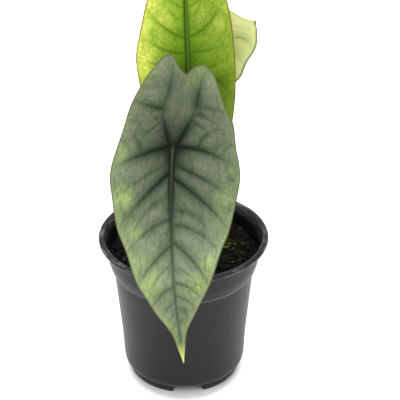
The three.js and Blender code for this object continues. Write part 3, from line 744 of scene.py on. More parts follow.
def buildBlade(leaf, upper, under):
    panels = len(leaf["rows"]) - 1
    mesh = gridMesh(leaf["name"] + "Blade", 2 * leaf["columns"], leaf["lines"])
    grid = readPoints(mesh)
    row = np.clip((1 - grid[:, 1]) / 2 * panels, 0, panels)
    share = -grid[:, 0]
    side = np.where(share < 0, -1, 1)
    reach = np.abs(share) ** 1.2
    reach = np.where((row < 1e-4) | (row > panels - 1e-4), 0, reach)
    p, q = flatPoint(leaf, row, side, reach)
    tip = leaf["rows"][0][0]

    # masks
    edgeRows = np.linspace(0, panels, 200)
    outline = [np.stack(flatPoint(leaf, edgeRows, np.full(200, s), np.ones(200)), -1) for s in (-1, 1)]
    edge = np.minimum(lineDistance(p, q, outline[0])[0], lineDistance(p, q, outline[1])[0])
    core, halo, shade, sink = (np.zeros(len(p)) for _ in range(4))
    for line, width, strength in veinLines(leaf):
        away, along = lineDistance(p, q, line)
        wide = width * (1 - leafShape["veinTaper"] * along)
        fading = strength * (1 - ease(along, 0.35, 1.05) * 0.8)
        core = np.maximum(core, 0.85 * fading * hump(away, wide * leaf["coreWidth"]))
        halo = np.maximum(halo, fading * hump(away, wide * leafShape["haloWidth"]))
        shade = np.maximum(shade, fading * hump(away, wide * leafShape["shadeWidth"]))
        sink = np.maximum(sink, np.sqrt(fading) * hump(away, leafShape["quiltReach"] * (0.6 + 0.4 * wide)))
    mid = leaf["midrib"]
    taper = np.clip(1 - q / tip, 0.05, 1)
    fromMid = np.abs(p - mid["offset"] * ease(q, 4, 20))
    onBlade = ease(q, -1.5, 1.5)
    bandReach = mid["bandWidth"] * (0.3 + 0.7 * (1 - ease(q, 0, mid["bandEnd"])))
    bandShare = onBlade * (1 - ease(q, mid["bandEnd"] * 0.7, mid["bandEnd"]))
    band = bandShare * np.exp(-((fromMid / bandReach) ** 4))
    bandEdge = bandShare * hump(fromMid - bandReach - 0.65, 0.7) * 0.9
    bandEdge *= np.where(p < mid["offset"], mid["darkLeft"], mid["darkRight"])
    bandEdge *= 1 - mid["darkFade"] * ease(q, 14, 44)
    halfWidth = mid["width"] * (0.3 + 0.7 * taper)
    core = np.maximum(core, onBlade * hump(fromMid, halfWidth * 0.55) * (0.35 + 0.6 * taper))
    halo = np.maximum(halo, onBlade * hump(fromMid, halfWidth * 1.5) * (0.5 + 0.5 * taper))
    shade = np.maximum(shade, onBlade * hump(fromMid, halfWidth * 3) * (0.4 + 0.6 * taper))
    sink = np.maximum(sink, onBlade * hump(fromMid, leafShape["quiltReach"]))
    # painted light through the blade: a glow near the edge, weighted by side and along the blade
    rule = leaf["glow"]
    glow = np.exp(-((edge / rule["reach"]) ** 1.5)) * np.where(side < 0, rule["left"], rule["right"])
    glow *= rule["upper"] + (rule["lower"] - rule["upper"]) * ease(q, 0, 40)
    dim = np.zeros(len(p))
    # patches above zero paint more of that light, and those below zero paint shade
    for spotP, spotQ, radius, strength in leaf["paintedLightPatches"]:
        soft = hump(np.hypot(p - spotP, q - spotQ), radius)
        if strength > 0:
            glow = np.maximum(glow, soft * strength)
        else:
            dim = np.maximum(dim, -soft * strength)
    glow *= 1 - 0.7 * halo
    rule = leaf["deep"]
    fromStalk = np.hypot(p, (q - rule["middle"]) * rule["squash"])
    nearVeins = (0.55 * shade + 0.4 * halo) * hump(fromStalk, rule["veinReach"])
    deep = rule["strength"] * np.maximum(hump(fromStalk, rule["reach"]) * (0.62 + 0.3 * shade), nearVeins)
    length = np.hypot(p, q - steady([r[0] for r in leaf["rows"]], row))
    rowLine = row * 13.0
    net = netPattern(length, rowLine, side) * (1 - ease(core, 0.2, 0.6)) * ease(edge, 0.5, 3)

    # relief
    surface = bladeSurface(leaf)
    normal = surfaceNormal(surface, p, q)
    inner = 1 - hump(edge, 4.5)
    spots = zip(p / leafShape["rippleSize"], q / leafShape["rippleSize"], side * 3.0)
    ripple = np.array([noise.noise(Vector(spot)) for spot in spots])
    rise = leafShape["quiltRise"] * (1 - sink) * inner + leafShape["rippleRise"] * ripple * inner
    rise += 0.45 * band - 0.34 * core * (1 - band) - 0.1 * net
    points = surface(p, q) + rise[:, None] * normal
    ribShare = np.where(q > -3, 1, 0.25)
    rib = leafShape["ribDepth"] * ribShare * np.clip(taper, 0.15, 1) * hump(p, 1.2 + 2.4 * taper)
    depth = leafShape["edgeThickness"] + (leafShape["thickness"] - leafShape["edgeThickness"]) * inner
    depth = depth + np.maximum(rib, 0.8 * core * (1 - reach)) + rise * 0.25 * (1 - inner)
    writePoints(mesh, points * mm)
    masks = {"veinCore": core, "veinHalo": halo, "veinShade": shade, "net": net, "edge": edge}
    masks.update({"glow": glow, "dim": dim, "deep": deep, "band": band, "bandEdge": bandEdge})
    masks.update({"tip": ease(q, leaf["tipStart"], tip), "offMid": length, "rowLine": rowLine})
    # painted light and shade: a gain on the colour along and across the blade and in spots
    light = smooth(*zip(*leaf["light"]), q) * smooth(*zip(*leaf["paintedLightAcross"]), p)
    for spotP, spotQ, radius, gain in leaf["paintedLightSpots"]:
        light *= 1 + gain * hump(np.hypot(p - spotP, q - spotQ), radius)
    masks["light"] = light
    for name, values in masks.items():
        writeValues(mesh, name, values)
    writeFlat(mesh, np.stack([p, q], -1) / sheetScale + 0.5)
    weights = np.clip(depth / leafShape["maxDepth"], 0.05, 1)
    obj = makeObject(mesh, upper, under)
    group = obj.vertex_groups.new(name="depth")
    for index, weight in enumerate(weights):
        group.add([index], float(weight), "REPLACE")
    weld(mesh)
    shell = obj.modifiers.new("thickness", "SOLIDIFY")
    shell.thickness = leafShape["maxDepth"] * mm
    shell.offset = -1
    shell.vertex_group = "depth"
    shell.thickness_vertex_group = 0
    shell.use_rim = True
    shell.material_offset = 1
    shell.material_offset_rim = 1
    return addPiece(obj, leaf["slot"], leaf["node"])


# Stalks: a swept tube, wide and channelled at its base, that ends inside the rib under the blade


def stalkPath(leaf):
    surface = bladeSurface(leaf)
    zero = np.zeros(1)
    top = surface(zero, zero)[0] - 0.6 * leafShape["ribDepth"] * surfaceNormal(surface, zero, zero)[0]
    return np.array([*leaf["stalk"], top], float)


def curveThrough(points, count):
    # an even centripetal curve through the points
    padded = np.vstack([2 * points[0] - points[1], points, 2 * points[-1] - points[-2]])
    samples = []
    for i in range(1, len(padded) - 2):
        x0, x1, x2, x3 = padded[i - 1 : i + 3]
        d0, d1, d2 = (np.linalg.norm(b - a) ** 0.5 for a, b in ((x0, x1), (x1, x2), (x2, x3)))
        t1 = ((x1 - x0) / d0 - (x2 - x0) / (d0 + d1) + (x2 - x1) / d1) * d1
        t2 = ((x2 - x1) / d1 - (x3 - x1) / (d1 + d2) + (x3 - x2) / d2) * d1
        for s in np.linspace(0, 1, 60, endpoint=False):
            a = (2 * s**3 - 3 * s**2 + 1) * x1 + (s**3 - 2 * s**2 + s) * t1
            samples.append(a + (3 * s**2 - 2 * s**3) * x2 + (s**3 - s**2) * t2)
    samples.append(points[-1])
    samples = np.array(samples)
    reach = np.concatenate([[0], np.cumsum(np.linalg.norm(np.diff(samples, axis=0), axis=1))])
    even = np.linspace(0, reach[-1], count)
    return np.stack([np.interp(even, reach, samples[:, axis]) for axis in range(3)], -1)


def tubeAlong(name, centres, radiusAt, sides, facing):
    # radiusAt(along, angle) gives the section; angle 0 is on the side that facing points to
    count = len(centres)
    mesh = gridMesh(name, sides, count + 1)
    grid = readPoints(mesh)
    station = np.rint((grid[:, 1] + 1) / 2 * (count + 1)).astype(int) - 1
    angle = np.pi * grid[:, 0]
    ends = (station < 0) | (station >= count)
    station = np.clip(station, 0, count - 1)
    tangents = unit(np.gradient(centres, axis=0))
    face = np.array(facing, float)
    faces = []
    for tangent in tangents:
        face = unit(face - (face @ tangent) * tangent)
        faces.append(face)
    faces = np.array(faces)
    other = np.cross(tangents, faces)
    along = station / (count - 1)
    radius = np.where(ends, 0, radiusAt(along, angle))
    points = centres[station] + (radius * np.cos(angle))[:, None] * faces[station]
    points += (radius * np.sin(angle))[:, None] * other[station]
    writePoints(mesh, points * mm)
    length = np.linalg.norm(np.diff(centres, axis=0), axis=1).sum()
    writeFlat(mesh, np.stack([grid[:, 0] * 0.5 + 0.5, along * length / sheetScale], -1))
    writeValues(mesh, "along", along)
    weld(mesh, turnOutward=True)
    return mesh


def buildStalk(leaf, material):
    centres = curveThrough(stalkPath(leaf), 110)

    def radiusAt(along, angle):
        body = leafShape["stalkTop"] + (leafShape["stalkBase"] - leafShape["stalkTop"]) * (1 - along) ** 2.2
        collar = (1 - 0.62 * ease(along, 0.975, 1)) * (1 + 0.24 * (1 - ease(along, 0, 0.06)))
        channel = (0.1 + 0.42 * (1 - ease(along, 0.05, 0.45))) * hump(angle, 0.42)
        lips = 0.1 * (1 - ease(along, 0.05, 0.45)) * hump(np.abs(angle) - 0.85, 0.3)
        streak = 0.02 * np.sin(9 * angle + 14 * along) * (1 - along)
        return body * collar * (1 - channel + lips + streak)

    base = centres[0]
    mesh = tubeAlong(leaf["name"] + "Stalk", centres, radiusAt, 32, [-base[0], -base[1], 0.4])
    return addPiece(makeObject(mesh, material), leaf["slot"], leaf["node"])


def stalkMaterial(name, *colours):
    material, tree, shader = newMaterial(name, 0.45)
    body, streak, foot = (paint(*colour) for colour in colours)
    mottle = noiseNode(tree, scaledVector(tree, objectVector(tree), (420, 420, 110)), 1.0, 4, 0.6, 0.8)
    line = noiseNode(tree, scaledVector(tree, flatVector(tree), (30, 3, 1)), 1.0, 3, 0.6)
    colour = mixNode(tree, rangeNode(tree, mottle, 0.5, 0.62, 0, 0.6), body, streak)
    colour = mixNode(tree, rangeNode(tree, line, 0.5, 0.75, 0, 0.35), colour, (0.4, 0.45, 0.2, 1))
    colour = mixNode(tree, rangeNode(tree, valueAttribute(tree, "along"), 0.0, 0.2, 0.75, 0), colour, foot)
    finishMaterial(tree, shader, colour, rangeNode(tree, mottle, 0.3, 0.7, 0.36, 0.5), line, 0.35, 0.0003)
    return material


# shares are those in leafShares, and the colours are 8-bit screen colours
leafFinishes = {
    "frontLeaf": {
        "shares": (0.95, 1.0, 0.55, 1.4, 0.9, 0.56),
        "specular": 0.06,
        "Flesh": (94, 114, 70),
        "Silver": (124, 130, 110),
        "Glow": (168, 194, 108),
        "Vein": (58, 78, 56),
        "Deep": (12, 23, 13),
        "Band": (58, 63, 52),
        "Margin": (98, 98, 64),
        "Tip": (232, 232, 140),
    },
    "backLeaf": {
        "shares": (0.28, 0.95, 0.6, 1.4, 0.9, 0.24),
        "specular": 0.05,
        "Flesh": (120, 154, 4),
        "Silver": (150, 172, 92),
        "Glow": (212, 214, 100),
        "Vein": (76, 118, 2),
        "Deep": (36, 76, 2),
        "Band": (84, 110, 44),
        "Margin": (124, 88, 36),
        "Tip": (206, 212, 80),
    },
    "sideLeaf": {
        "shares": (0.4, 0.65, 0.12, 2.2, 0.3, 0.3),
        "specular": 0.12,
        "Flesh": (198, 205, 123),
        "Silver": (207, 213, 149),
        "Glow": (224, 230, 160),
        "Vein": (140, 158, 82),
        "Deep": (112, 134, 62),
        "Band": (168, 182, 108),
        "Margin": (84, 98, 56),
        "Tip": (214, 220, 138),
    },
}

underFinish = {
    "shares": (0.55, 0.5, 0.35, 1.4, 0.7, 0.3),
    "specular": 0.2,
    "Flesh": (112, 140, 72),
    "Silver": (138, 158, 104),
    "Glow": (150, 174, 92),
    "Vein": (88, 114, 56),
    "Deep": (74, 98, 48),
    "Band": (120, 130, 80),
    "Margin": (110, 100, 56),
    "Tip": (190, 194, 100),
}

stalkFinishes = {
    "frontLeaf": ((126, 138, 84), (84, 76, 60), (138, 122, 96)),
    "backLeaf": ((134, 150, 80), (92, 90, 58), (140, 128, 96)),
    "sideLeaf": ((168, 186, 110), (120, 130, 74), (160, 150, 110)),
}

for leaf in (frontLeaf, backLeaf, sideLeaf):
    finish = leafFinishes[leaf["name"]]
    upper = leafMaterial(leaf["name"] + "Upper", **finish)
    below = dict(underFinish)
    if leaf is not frontLeaf:
        for label in ("Flesh", "Glow", "Silver", "Vein", "Band"):
            below[label] = finish[label]
    under = leafMaterial(leaf["name"] + "Under", **below)
    buildBlade(leaf, upper, under)
    buildStalk(leaf, stalkMaterial(leaf["name"] + "StalkSkin", *stalkFinishes[leaf["name"]]))
    print(leaf["name"], "made")


# Pot: one turned shell with a rolled rim, three long feet and drain holes

pot = {
    "steps": 144,
    "profile": [
        [0, 5], [20, 5], [34, 5], [37.5, 5.05], [39.6, 5.3], [41.3, 6.1], [42.7, 7.7], [43.4, 9.8],
        [43.8, 12.8], [44.1, 19], [44.7, 29], [46.4, 48.5], [48.2, 68], [49.1, 78], [49.35, 82.4],
        [49.7, 83.6], [50.6, 84.5], [51.4, 85.9], [52.2, 88.3], [53, 91], [53.5, 93.8], [53.8, 97],
        [54.4, 103], [54.7, 104.9], [55.6, 105.4], [57.6, 105.6], [59.2, 106.4], [60, 108],
        [59.3, 109.5], [57.7, 110], [56.1, 109.5], [55.2, 108], [54.2, 106], [53.3, 104], [52.8, 100],
        [52.2, 93.8], [51.6, 91], [50.8, 89], [49.8, 87], [48.9, 85.8], [48.3, 84.8], [48, 83.4],
        [47.7, 78], [46.8, 68], [45.1, 48.5], [43.4, 29], [42.8, 19], [42.5, 12.9], [41.1, 9.4],
        [39, 7.4], [36, 7], [20, 7], [0, 7],
    ],
    "footCount": 3,
    "footInner": 32,
    "footOuter": 40.1,
    "footHeight": 6.2,
    "footSpan": 88,
    "footSteps": 26,
    "footTurn": 4,
    "footBevel": 0.9,
    "drainRadius": 4,
    "drainCircle": 21,
    "drainRing": 6,
    "sharpAngle": 38,
}


def footBlock(bm, middle):
    inner, outer, height = pot["footInner"], pot["footOuter"], pot["footHeight"]
    section = [(inner, 0), (outer - 0.2, 0), (outer, height), (inner, height)]
    span = math.radians(pot["footSpan"])
    verts = [bm.verts.new((r * mm, 0, z * mm)) for r, z in section]
    face = bm.faces.new(verts)
    turn = Matrix.Rotation(middle - span / 2, 4, "Z")
    bmesh.ops.transform(bm, matrix=turn, verts=verts)
    geometry = [face, *face.edges, *verts]
    steps = pot["footSteps"]
    bmesh.ops.spin(bm, geom=geometry, cent=(0, 0, 0), axis=(0, 0, 1), angle=span, steps=steps)


def buildPot(material):
    shell = bmeshObject(spinProfile(softenProfile(pot["profile"], 2), pot["steps"]), "potShell", material)
    feet = bmesh.new()
    for i in range(pot["footCount"]):
        footBlock(feet, math.radians(pot["footTurn"] + (i + 0.5) * 360 / pot["footCount"] - 90))
    bmesh.ops.recalc_face_normals(feet, faces=feet.faces)
    corners = [e for e in feet.edges if len(e.link_faces) == 2 and e.calc_face_angle(0) > 0.9]
    softly = {"segments": 4, "profile": 0.5, "affect": "EDGES", "material": -1}
    bmesh.ops.bevel(feet, geom=corners, offset=pot["footBevel"] * mm, **softly)
    footObject = bmeshObject(feet, "potFeet", material)
    drains = bmesh.new()
    radius = pot["drainRadius"] * mm
    hole = {"cap_ends": True, "segments": 32, "radius1": radius, "radius2": radius, "depth": 6 * mm}
    for i in range(pot["drainRing"] + 1):
        circle = 0 if i == pot["drainRing"] else pot["drainCircle"] * mm
        angle = i * 2 * math.pi / pot["drainRing"]
        spot = (circle * math.cos(angle), circle * math.sin(angle), 6 * mm)
        bmesh.ops.create_cone(drains, matrix=Matrix.Translation(spot), **hole)
    drainObject = bmeshObject(drains, "potDrains", material)
    for tool, operation in ((footObject, "UNION"), (drainObject, "DIFFERENCE")):
        cut = shell.modifiers.new(operation.lower(), "BOOLEAN")
        cut.operation = operation
        cut.solver = "EXACT"
        cut.object = tool
    applyModifiers(shell)
    for tool in (footObject, drainObject):
        bpy.data.objects.remove(tool)
    shell.data.polygons.foreach_set("use_smooth", np.ones(len(shell.data.polygons), bool))
    shell.data.set_sharp_from_angle(angle=math.radians(pot["sharpAngle"]))
    return addPiece(shell, "pot_plastic", "pot")


def potMaterial():
    material, tree, shader = newMaterial("blackPlastic", 0.36)
    where = objectVector(tree)
    height = heightOf(tree, where)
    speckle = noiseNode(tree, where, 900, 2, 0.6)
    cloud = noiseNode(tree, where, 26, 4, 0.6)
    scuff = noiseNode(tree, scaledVector(tree, where, (60, 60, 700)), 1.0, 4, 0.65)

    def times(first, second):
        return mathNode(tree, "MULTIPLY", first, second)

    def between(*values):
        return rangeNode(tree, height, *values)

    colour = mixNode(tree, rangeNode(tree, cloud, 0.3, 0.7), paint(11, 11, 11), paint(18, 18, 17))
    dust = rangeNode(tree, speckle, 0.7, 0.78, 0, 0.45)
    colour = mixNode(tree, dust, colour, paint(120, 118, 112))
    # the pale line at the ledge's step is wear and a painted highlight along that edge
    ledge = times(between(0.0829, 0.0836), between(0.0846, 0.0852, 1, 0))
    ledgeWearAndHighlight = times(ledge, rangeNode(tree, cloud, 0.25, 0.6, 0.25, 0.7))
    colour = mixNode(tree, ledgeWearAndHighlight, colour, paint(112, 112, 110))
    # pale grey on the rim roll is scuffs and a painted highlight along its top
    rim = times(between(0.1052, 0.1066), rangeNode(tree, scuff, 0.52, 0.66, 0, 0.7))
    colour = mixNode(tree, rim, colour, paint(124, 129, 132))
    foot = times(between(0.004, 0.012, 1, 0), rangeNode(tree, scuff, 0.5, 0.75, 0, 0.12))
    colour = mixNode(tree, foot, colour, paint(70, 67, 60))
    rough = rangeNode(tree, scuff, 0.3, 0.7, 0.3, 0.4)
    bump = mathNode(tree, "MULTIPLY_ADD", scuff, 0.25, times(cloud, 1.5))
    finishMaterial(tree, shader, colour, rough, bump, 0.2, 0.0005)
    return material


buildPot(potMaterial())
print("pot made")


# Soil: an uneven top with peat crumbs, bark, perlite, coir fibres and moss on it

soil = {
    "top": 96,
    "relief": 1.4,
    "radius": 51.9,
    "holeRadius": 13,
    "holeFloor": 63.7,
    "rings": 46,
    "steps": 150,
    "crumbs": 1500,
    "fibres": 46,
    "tufts": 11,
    "seed": 11,
}
# places in the soil are x, y and size
bits = {
    "barkChips": {
        "count": 20, "sizes": (2.4, 5), "stretch": (1, 0.55, 0.28), "lift": 0.06, "sharpAngle": 45,
        "places": [(-46.3, -7.4, 5), (-41.9, -12.7, 5.5), (-38.3, -17.9, 4.5)],
    },
    "perliteGrains": {
        "count": 34, "sizes": (0.4, 1.0), "stretch": (1.1, 1, 0.85), "lift": 0.2, "sharpAngle": None,
        "places": [(35.1, 2.1, 1.2), (34.5, -17.5, 1.1), (39.5, -13.7, 0.9), (30.5, -8, 0.8)],
    },
}
mossPlaces = [(31, 6.3, 3.1), (34.2, 7, 1.2), (36.4, 7.8, 0.9)]
oldMossPlaces = [
    (33.9, 6.8, 2.6), (32.8, 13, 2.2), (41.4, 6, 2), (36, 0.5, 2.4), (30.5, -13, 2.6), (38.5, -6, 1.8)
]


def soilHeight(x, y):
    broad = math.sin(x * 0.11 + 0.7) * math.cos(y * 0.13 - 0.4)
    fine = math.sin(x * 0.41 + y * 0.23) * math.sin(y * 0.47 - x * 0.19 + 1.1)
    height = soil["top"] + soil["relief"] * (0.6 * broad + 0.5 * fine)
    lump = noise.noise(Vector((x * 0.28, y * 0.28, 3))) * 0.9
    crumb = noise.noise(Vector((x * 0.9, y * 0.9, 9))) * 0.55
    return height + lump + crumb


def buildSoil(material):
    hole, top, radius = soil["holeRadius"], soil["top"], soil["radius"]
    profile = [(0, soil["holeFloor"]), (hole - 3, soil["holeFloor"]), (hole, soil["holeFloor"] + 4)]
    profile += [(hole + (radius - hole) * i / soil["rings"], top) for i in range(soil["rings"] + 1)]
    profile += [(51.7, 94), (50.4, 89.3), (48.5, 86.1), (47.5, 84.4), (42.9, 28), (42.1, 13.2)]
    profile += [(40.7, 9.8), (38.7, 8), (35.5, 7.3), (0, 7.3)]
    bm = spinProfile(profile, soil["steps"])
    for vert in bm.verts:
        if vert.co.z > (top - 0.5) * mm:
            vert.co.z = soilHeight(vert.co.x / mm, vert.co.y / mm) * mm
    obj = bmeshObject(bm, "soilBody", material, sharpAngle=50)
    return addPiece(obj, "potting_mix", "soil")


def scatterSpot(draw):
    angle = draw.uniform(0, 2 * math.pi)
    low, high = (soil["holeRadius"] + 2) ** 2, (soil["radius"] - 2.5) ** 2
    circle = math.sqrt(draw.uniform(low, high))
    return circle * math.cos(angle), circle * math.sin(angle)


def lumpShapes(draw, count, fineness, roughness):
    shapes = []
    for _ in range(count):
        bm = bmesh.new()
        bmesh.ops.create_icosphere(bm, subdivisions=fineness, radius=0.5)
        shift = Vector((draw.random() * 50, draw.random() * 50, 0))
        for vert in bm.verts:
            vert.co *= 1 + roughness * noise.noise(vert.co * 3.2 + shift) * 2
        shapes.append(meshFrom(bm, "lump"))
    return shapes


def placeShape(bm, shape, draw, x, y, size, stretch, lift, tilt=0.4):
    # one copy of a shape, resting on the soil
    matrix = Matrix.Translation((x * mm, y * mm, (soilHeight(x, y) + lift * size) * mm))
    matrix @= Matrix.Rotation(draw.uniform(0, 2 * math.pi), 4, "Z")
    matrix @= Matrix.Rotation(draw.uniform(-tilt, tilt), 4, "X")
    matrix @= Matrix.Diagonal((*[size * mm * s for s in stretch], 1))
    copy = shape.copy()
    copy.transform(matrix)
    bm.from_mesh(copy)
    bpy.data.meshes.remove(copy)


def buildCrumbs(material):
    draw = random.Random(soil["seed"])
    shapes = lumpShapes(draw, 24, 2, 0.45)
    bm = bmesh.new()
    for _ in range(soil["crumbs"]):
        x, y = scatterSpot(draw)
        size = 1.0 + 2.8 * draw.random() ** 2.4
        stretch = (1.25, draw.uniform(0.7, 1.1), draw.uniform(0.5, 0.9))
        placeShape(bm, draw.choice(shapes), draw, x, y, size, stretch, 0.12)
    return addPiece(bmeshObject(bm, "peatCrumbs", material, sharpAngle=60), "potting_mix")


def chipShapes(draw, count):
    shapes = []
    for _ in range(count):
        bm = bmesh.new()
        bmesh.ops.create_cube(bm, size=1)
        bmesh.ops.subdivide_edges(bm, edges=bm.edges, cuts=4, use_grid_fill=True)
        shift = Vector((draw.random() * 50, draw.random() * 50, 0))
        for vert in bm.verts:
            layer = noise.noise(Vector((vert.co.x * 2, vert.co.y * 9, vert.co.z * 7)) + shift)
            vert.co *= 1 + 0.22 * layer + 0.3 * noise.noise(vert.co * 3 + shift)
        shapes.append(meshFrom(bm, "chip"))
    return shapes


def buildBits(name, draw, shapes, material):
    # bits at the places given, and as many at random as make up the count
    rule = bits[name]
    bm = bmesh.new()
    places = list(rule["places"])
    while len(places) < rule["count"]:
        places.append((*scatterSpot(draw), draw.uniform(*rule["sizes"])))
    for x, y, size in places:
        placeShape(bm, draw.choice(shapes), draw, x, y, size, rule["stretch"], rule["lift"])
    return addPiece(bmeshObject(bm, name, material, rule["sharpAngle"]), "potting_mix")


def buildFibres(material):
    draw = random.Random(soil["seed"] + 3)
    bm = bmesh.new()
    for _ in range(soil["fibres"]):
        x, y = scatterSpot(draw)
        heading = draw.uniform(0, 2 * math.pi)
        turn = draw.uniform(-0.25, 0.25)
        points = []
        for _ in range(9):
            points.append([x, y, soilHeight(x, y) + 0.35])
            heading += turn
            step = draw.uniform(0.8, 1.5)
            nextX, nextY = x + step * math.cos(heading), y + step * math.sin(heading)
            if soil["holeRadius"] + 1 < math.hypot(nextX, nextY) < soil["radius"] - 1.5:
                x, y = nextX, nextY
            else:
                heading += 2.2
                x, y = x + step * 0.4 * math.cos(heading), y + step * 0.4 * math.sin(heading)
        centres = curveThrough(np.array(points), 16)
        thick = draw.uniform(0.1, 0.2)
        mesh = tubeAlong("fibre", centres, lambda along, angle: np.full(along.shape, thick), 5, [0, 0, 1])
        bm.from_mesh(mesh)
        bpy.data.meshes.remove(mesh)
    return addPiece(bmeshObject(bm, "coirFibres", material), "potting_mix")


def mossShapes(draw, count):
    # a leafy shoot: a few bent, pointed leaves round a stem
    shapes = []
    for _ in range(count):
        bm = bmesh.new()
        for i in range(6):
            spike = {"cap_ends": True, "segments": 4, "radius1": 0.16, "radius2": 0.02, "depth": 1}
            made = bmesh.ops.create_cone(bm, matrix=Matrix.Translation((0, 0, 0.5)), **spike)["verts"]
            lean = Matrix.Rotation(draw.uniform(0.25, 1.1), 4, "X")
            turn = Matrix.Rotation(i * 1.05 + draw.uniform(-0.3, 0.3), 4, "Z")
            bmesh.ops.transform(bm, matrix=turn @ lean, verts=made)
        shapes.append(meshFrom(bm, "shoot"))
    return shapes


def buildMoss(name, places, crowd, tallest, material):
    draw = random.Random(soil["seed"] + 4)
    shapes = mossShapes(draw, 10)
    bm = bmesh.new()
    for x, y, size in places:
        for _ in range(int(crowd * size**1.4)):
            away, angle = size * math.sqrt(draw.random()), draw.uniform(0, 2 * math.pi)
            shootX, shootY = x + away * math.cos(angle), y + away * math.sin(angle)
            if math.hypot(shootX, shootY) > soil["radius"] - 1:
                continue
            tall = draw.uniform(0.5 * tallest, tallest)
            placeShape(bm, draw.choice(shapes), draw, shootX, shootY, tall, (1.1, 1.1, 1), 0, 0.3)
    return addPiece(bmeshObject(bm, name, material, sharpAngle=60), "potting_mix")


def grainyMaterial(name, dark, light, scale, roughness, bumpDistance, low=0.38, high=0.64):
    material, tree, shader = newMaterial(name, 0.2)
    where = objectVector(tree)
    coarse = noiseNode(tree, where, scale, 6, 0.68, 0.5)
    fine = noiseNode(tree, where, scale * 7, 3, 0.6)
    colour = mixNode(tree, rangeNode(tree, coarse, low, high), dark, light)
    colour = mixNode(tree, rangeNode(tree, fine, 0.55, 0.8, 0, 0.35), colour, light)
    rough = rangeNode(tree, fine, 0.3, 0.7, roughness - 0.12, roughness)
    height = mathNode(tree, "MULTIPLY_ADD", fine, 0.4, coarse)
    finishMaterial(tree, shader, colour, rough, height, 0.8, bumpDistance)
    return material


buildSoil(grainyMaterial("peat", paint(3, 4, 2), paint(13, 14, 8), 240, 0.92, 0.0012))
buildCrumbs(grainyMaterial("peatCrumb", paint(3, 4, 2), paint(22, 23, 13), 330, 0.88, 0.0008))
bark = grainyMaterial("pineBark", paint(12, 9, 6), paint(68, 47, 32), 300, 0.85, 0.0008)
draw = random.Random(soil["seed"] + 1)
buildBits("barkChips", draw, chipShapes(draw, 12), bark)
perlite = grainyMaterial("perlite", paint(120, 118, 108), paint(188, 186, 176), 700, 0.9, 0.0004)
draw = random.Random(soil["seed"] + 2)
buildBits("perliteGrains", draw, lumpShapes(draw, 10, 3, 0.3), perlite)
buildFibres(grainyMaterial("coir", paint(32, 26, 18), paint(84, 72, 52), 500, 0.85, 0.0003))
youngMoss = grainyMaterial("youngMoss", paint(70, 88, 16), paint(172, 186, 60), 380, 0.8, 0.0003, 0.3, 0.55)
buildMoss("mossTufts", mossPlaces, 60, 1.5, youngMoss)
mossDraw = random.Random(soil["seed"] + 5)
while len(oldMossPlaces) < soil["tufts"]:
    oldMossPlaces.append((*scatterSpot(mossDraw), mossDraw.uniform(1, 2.4)))
oldMoss = grainyMaterial("oldMoss", paint(26, 34, 12), paint(98, 110, 38), 380, 0.85, 0.0003, 0.34, 0.66)
buildMoss("oldMoss", oldMossPlaces, 20, 1.1, oldMoss)
print("soil made")


# Rootstock: a ringed neck with torn dry sheaths round it

neck = {
    "radius": 12.5,
    "top": 104,
    "bottom": 64,
    "ringPitch": 3,
    "ringDepth": 0.6,
    "sheaths": [[-60, 92, 108, 60], [40, 92, 109.5, 52], [140, 92, 107, 56], [225, 92, 110, 48]],
}


def buildNeck(material):
    radius, top, bottom = neck["radius"], neck["top"], neck["bottom"]
    profile = [(0, bottom), (radius - 3, bottom), (radius, bottom + 4), (radius, top - 16)]
    for z in np.linspace(top - 14, top - 3, 34):
        ring = abs(math.sin(math.pi * (z - top) / neck["ringPitch"])) ** 0.6
        profile.append((radius - neck["ringDepth"] * (1 - ring), z))
    for t in np.linspace(0, 1, 14)[1:]:
        profile.append((radius * (1 - t) ** 0.62, top - 3 + 3.2 * (1 - (1 - t) ** 2)))
    bm = spinProfile(profile, 96)
    for vert in bm.verts:
        angle = math.atan2(vert.co.y, vert.co.x)
        height = vert.co.z / mm
        if height > top - 15:
            x, y = math.cos(angle), math.sin(angle)
            wrinkle = noise.noise(Vector((x * 2.4, y * 2.4, height * 0.35)))
            fine = noise.noise(Vector((x * 9, y * 9, height * 0.2)))
            change = 1 - 0.04 - 0.05 * wrinkle - 0.03 * fine
            vert.co.x *= change
            vert.co.y *= change
    obj = bmeshObject(bm, "rootstockNeck", material)
    return addPiece(obj, "rootstock_skin", "rootstock")


def buildSheaths(material):
    bm = bmesh.new()
    for turn, low, high, span in neck["sheaths"]:
        made = bmesh.ops.create_grid(bm, x_segments=18, y_segments=20, size=1)["verts"]
        for vert in made:
            t = (vert.co.y + 1) / 2
            width = (1 - t**2.2) * (1 - 0.15 * t)
            angle = math.radians(turn + vert.co.x * span * width)
            curl = 0.9 * t**3 + 0.25 * math.sin(vert.co.x * 5 + turn) * t
            radius = neck["radius"] + 0.25 + 1.1 * curl - 3.2 * max(0, t - 0.62)
            z = low + (high - low) * t + 0.5 * math.sin(vert.co.x * 4)
            vert.co = Vector((radius * math.cos(angle), radius * math.sin(angle), z)) * mm
    bmesh.ops.remove_doubles(bm, verts=bm.verts, dist=1e-5)
    obj = bmeshObject(bm, "drySheaths", material)
    shell = obj.modifiers.new("thickness", "SOLIDIFY")
    shell.thickness = 0.35 * mm
    shell.offset = 0
    return addPiece(obj, "rootstock_skin")


def sheathMaterial():
    material, tree, shader = newMaterial("drySheath", 0.3)
    where = objectVector(tree)
    grain = noiseNode(tree, scaledVector(tree, where, (900, 900, 90)), 1.0, 4, 0.65)
    spot = noiseNode(tree, where, 260, 3, 0.6)
    colour = mixNode(tree, rangeNode(tree, grain, 0.35, 0.68), paint(84, 62, 40), paint(150, 122, 86))
    colour = mixNode(tree, rangeNode(tree, spot, 0.55, 0.7, 0, 0.6), colour, paint(58, 42, 28))
    finishMaterial(tree, shader, colour, rangeNode(tree, spot, 0.3, 0.7, 0.65, 0.82), grain, 0.6, 0.0004)
    return material


buildNeck(grainyMaterial("neckSkin", paint(78, 74, 40), paint(120, 124, 70), 160, 0.7, 0.0006))
buildSheaths(sheathMaterial())
print("rootstock made")


# Studio

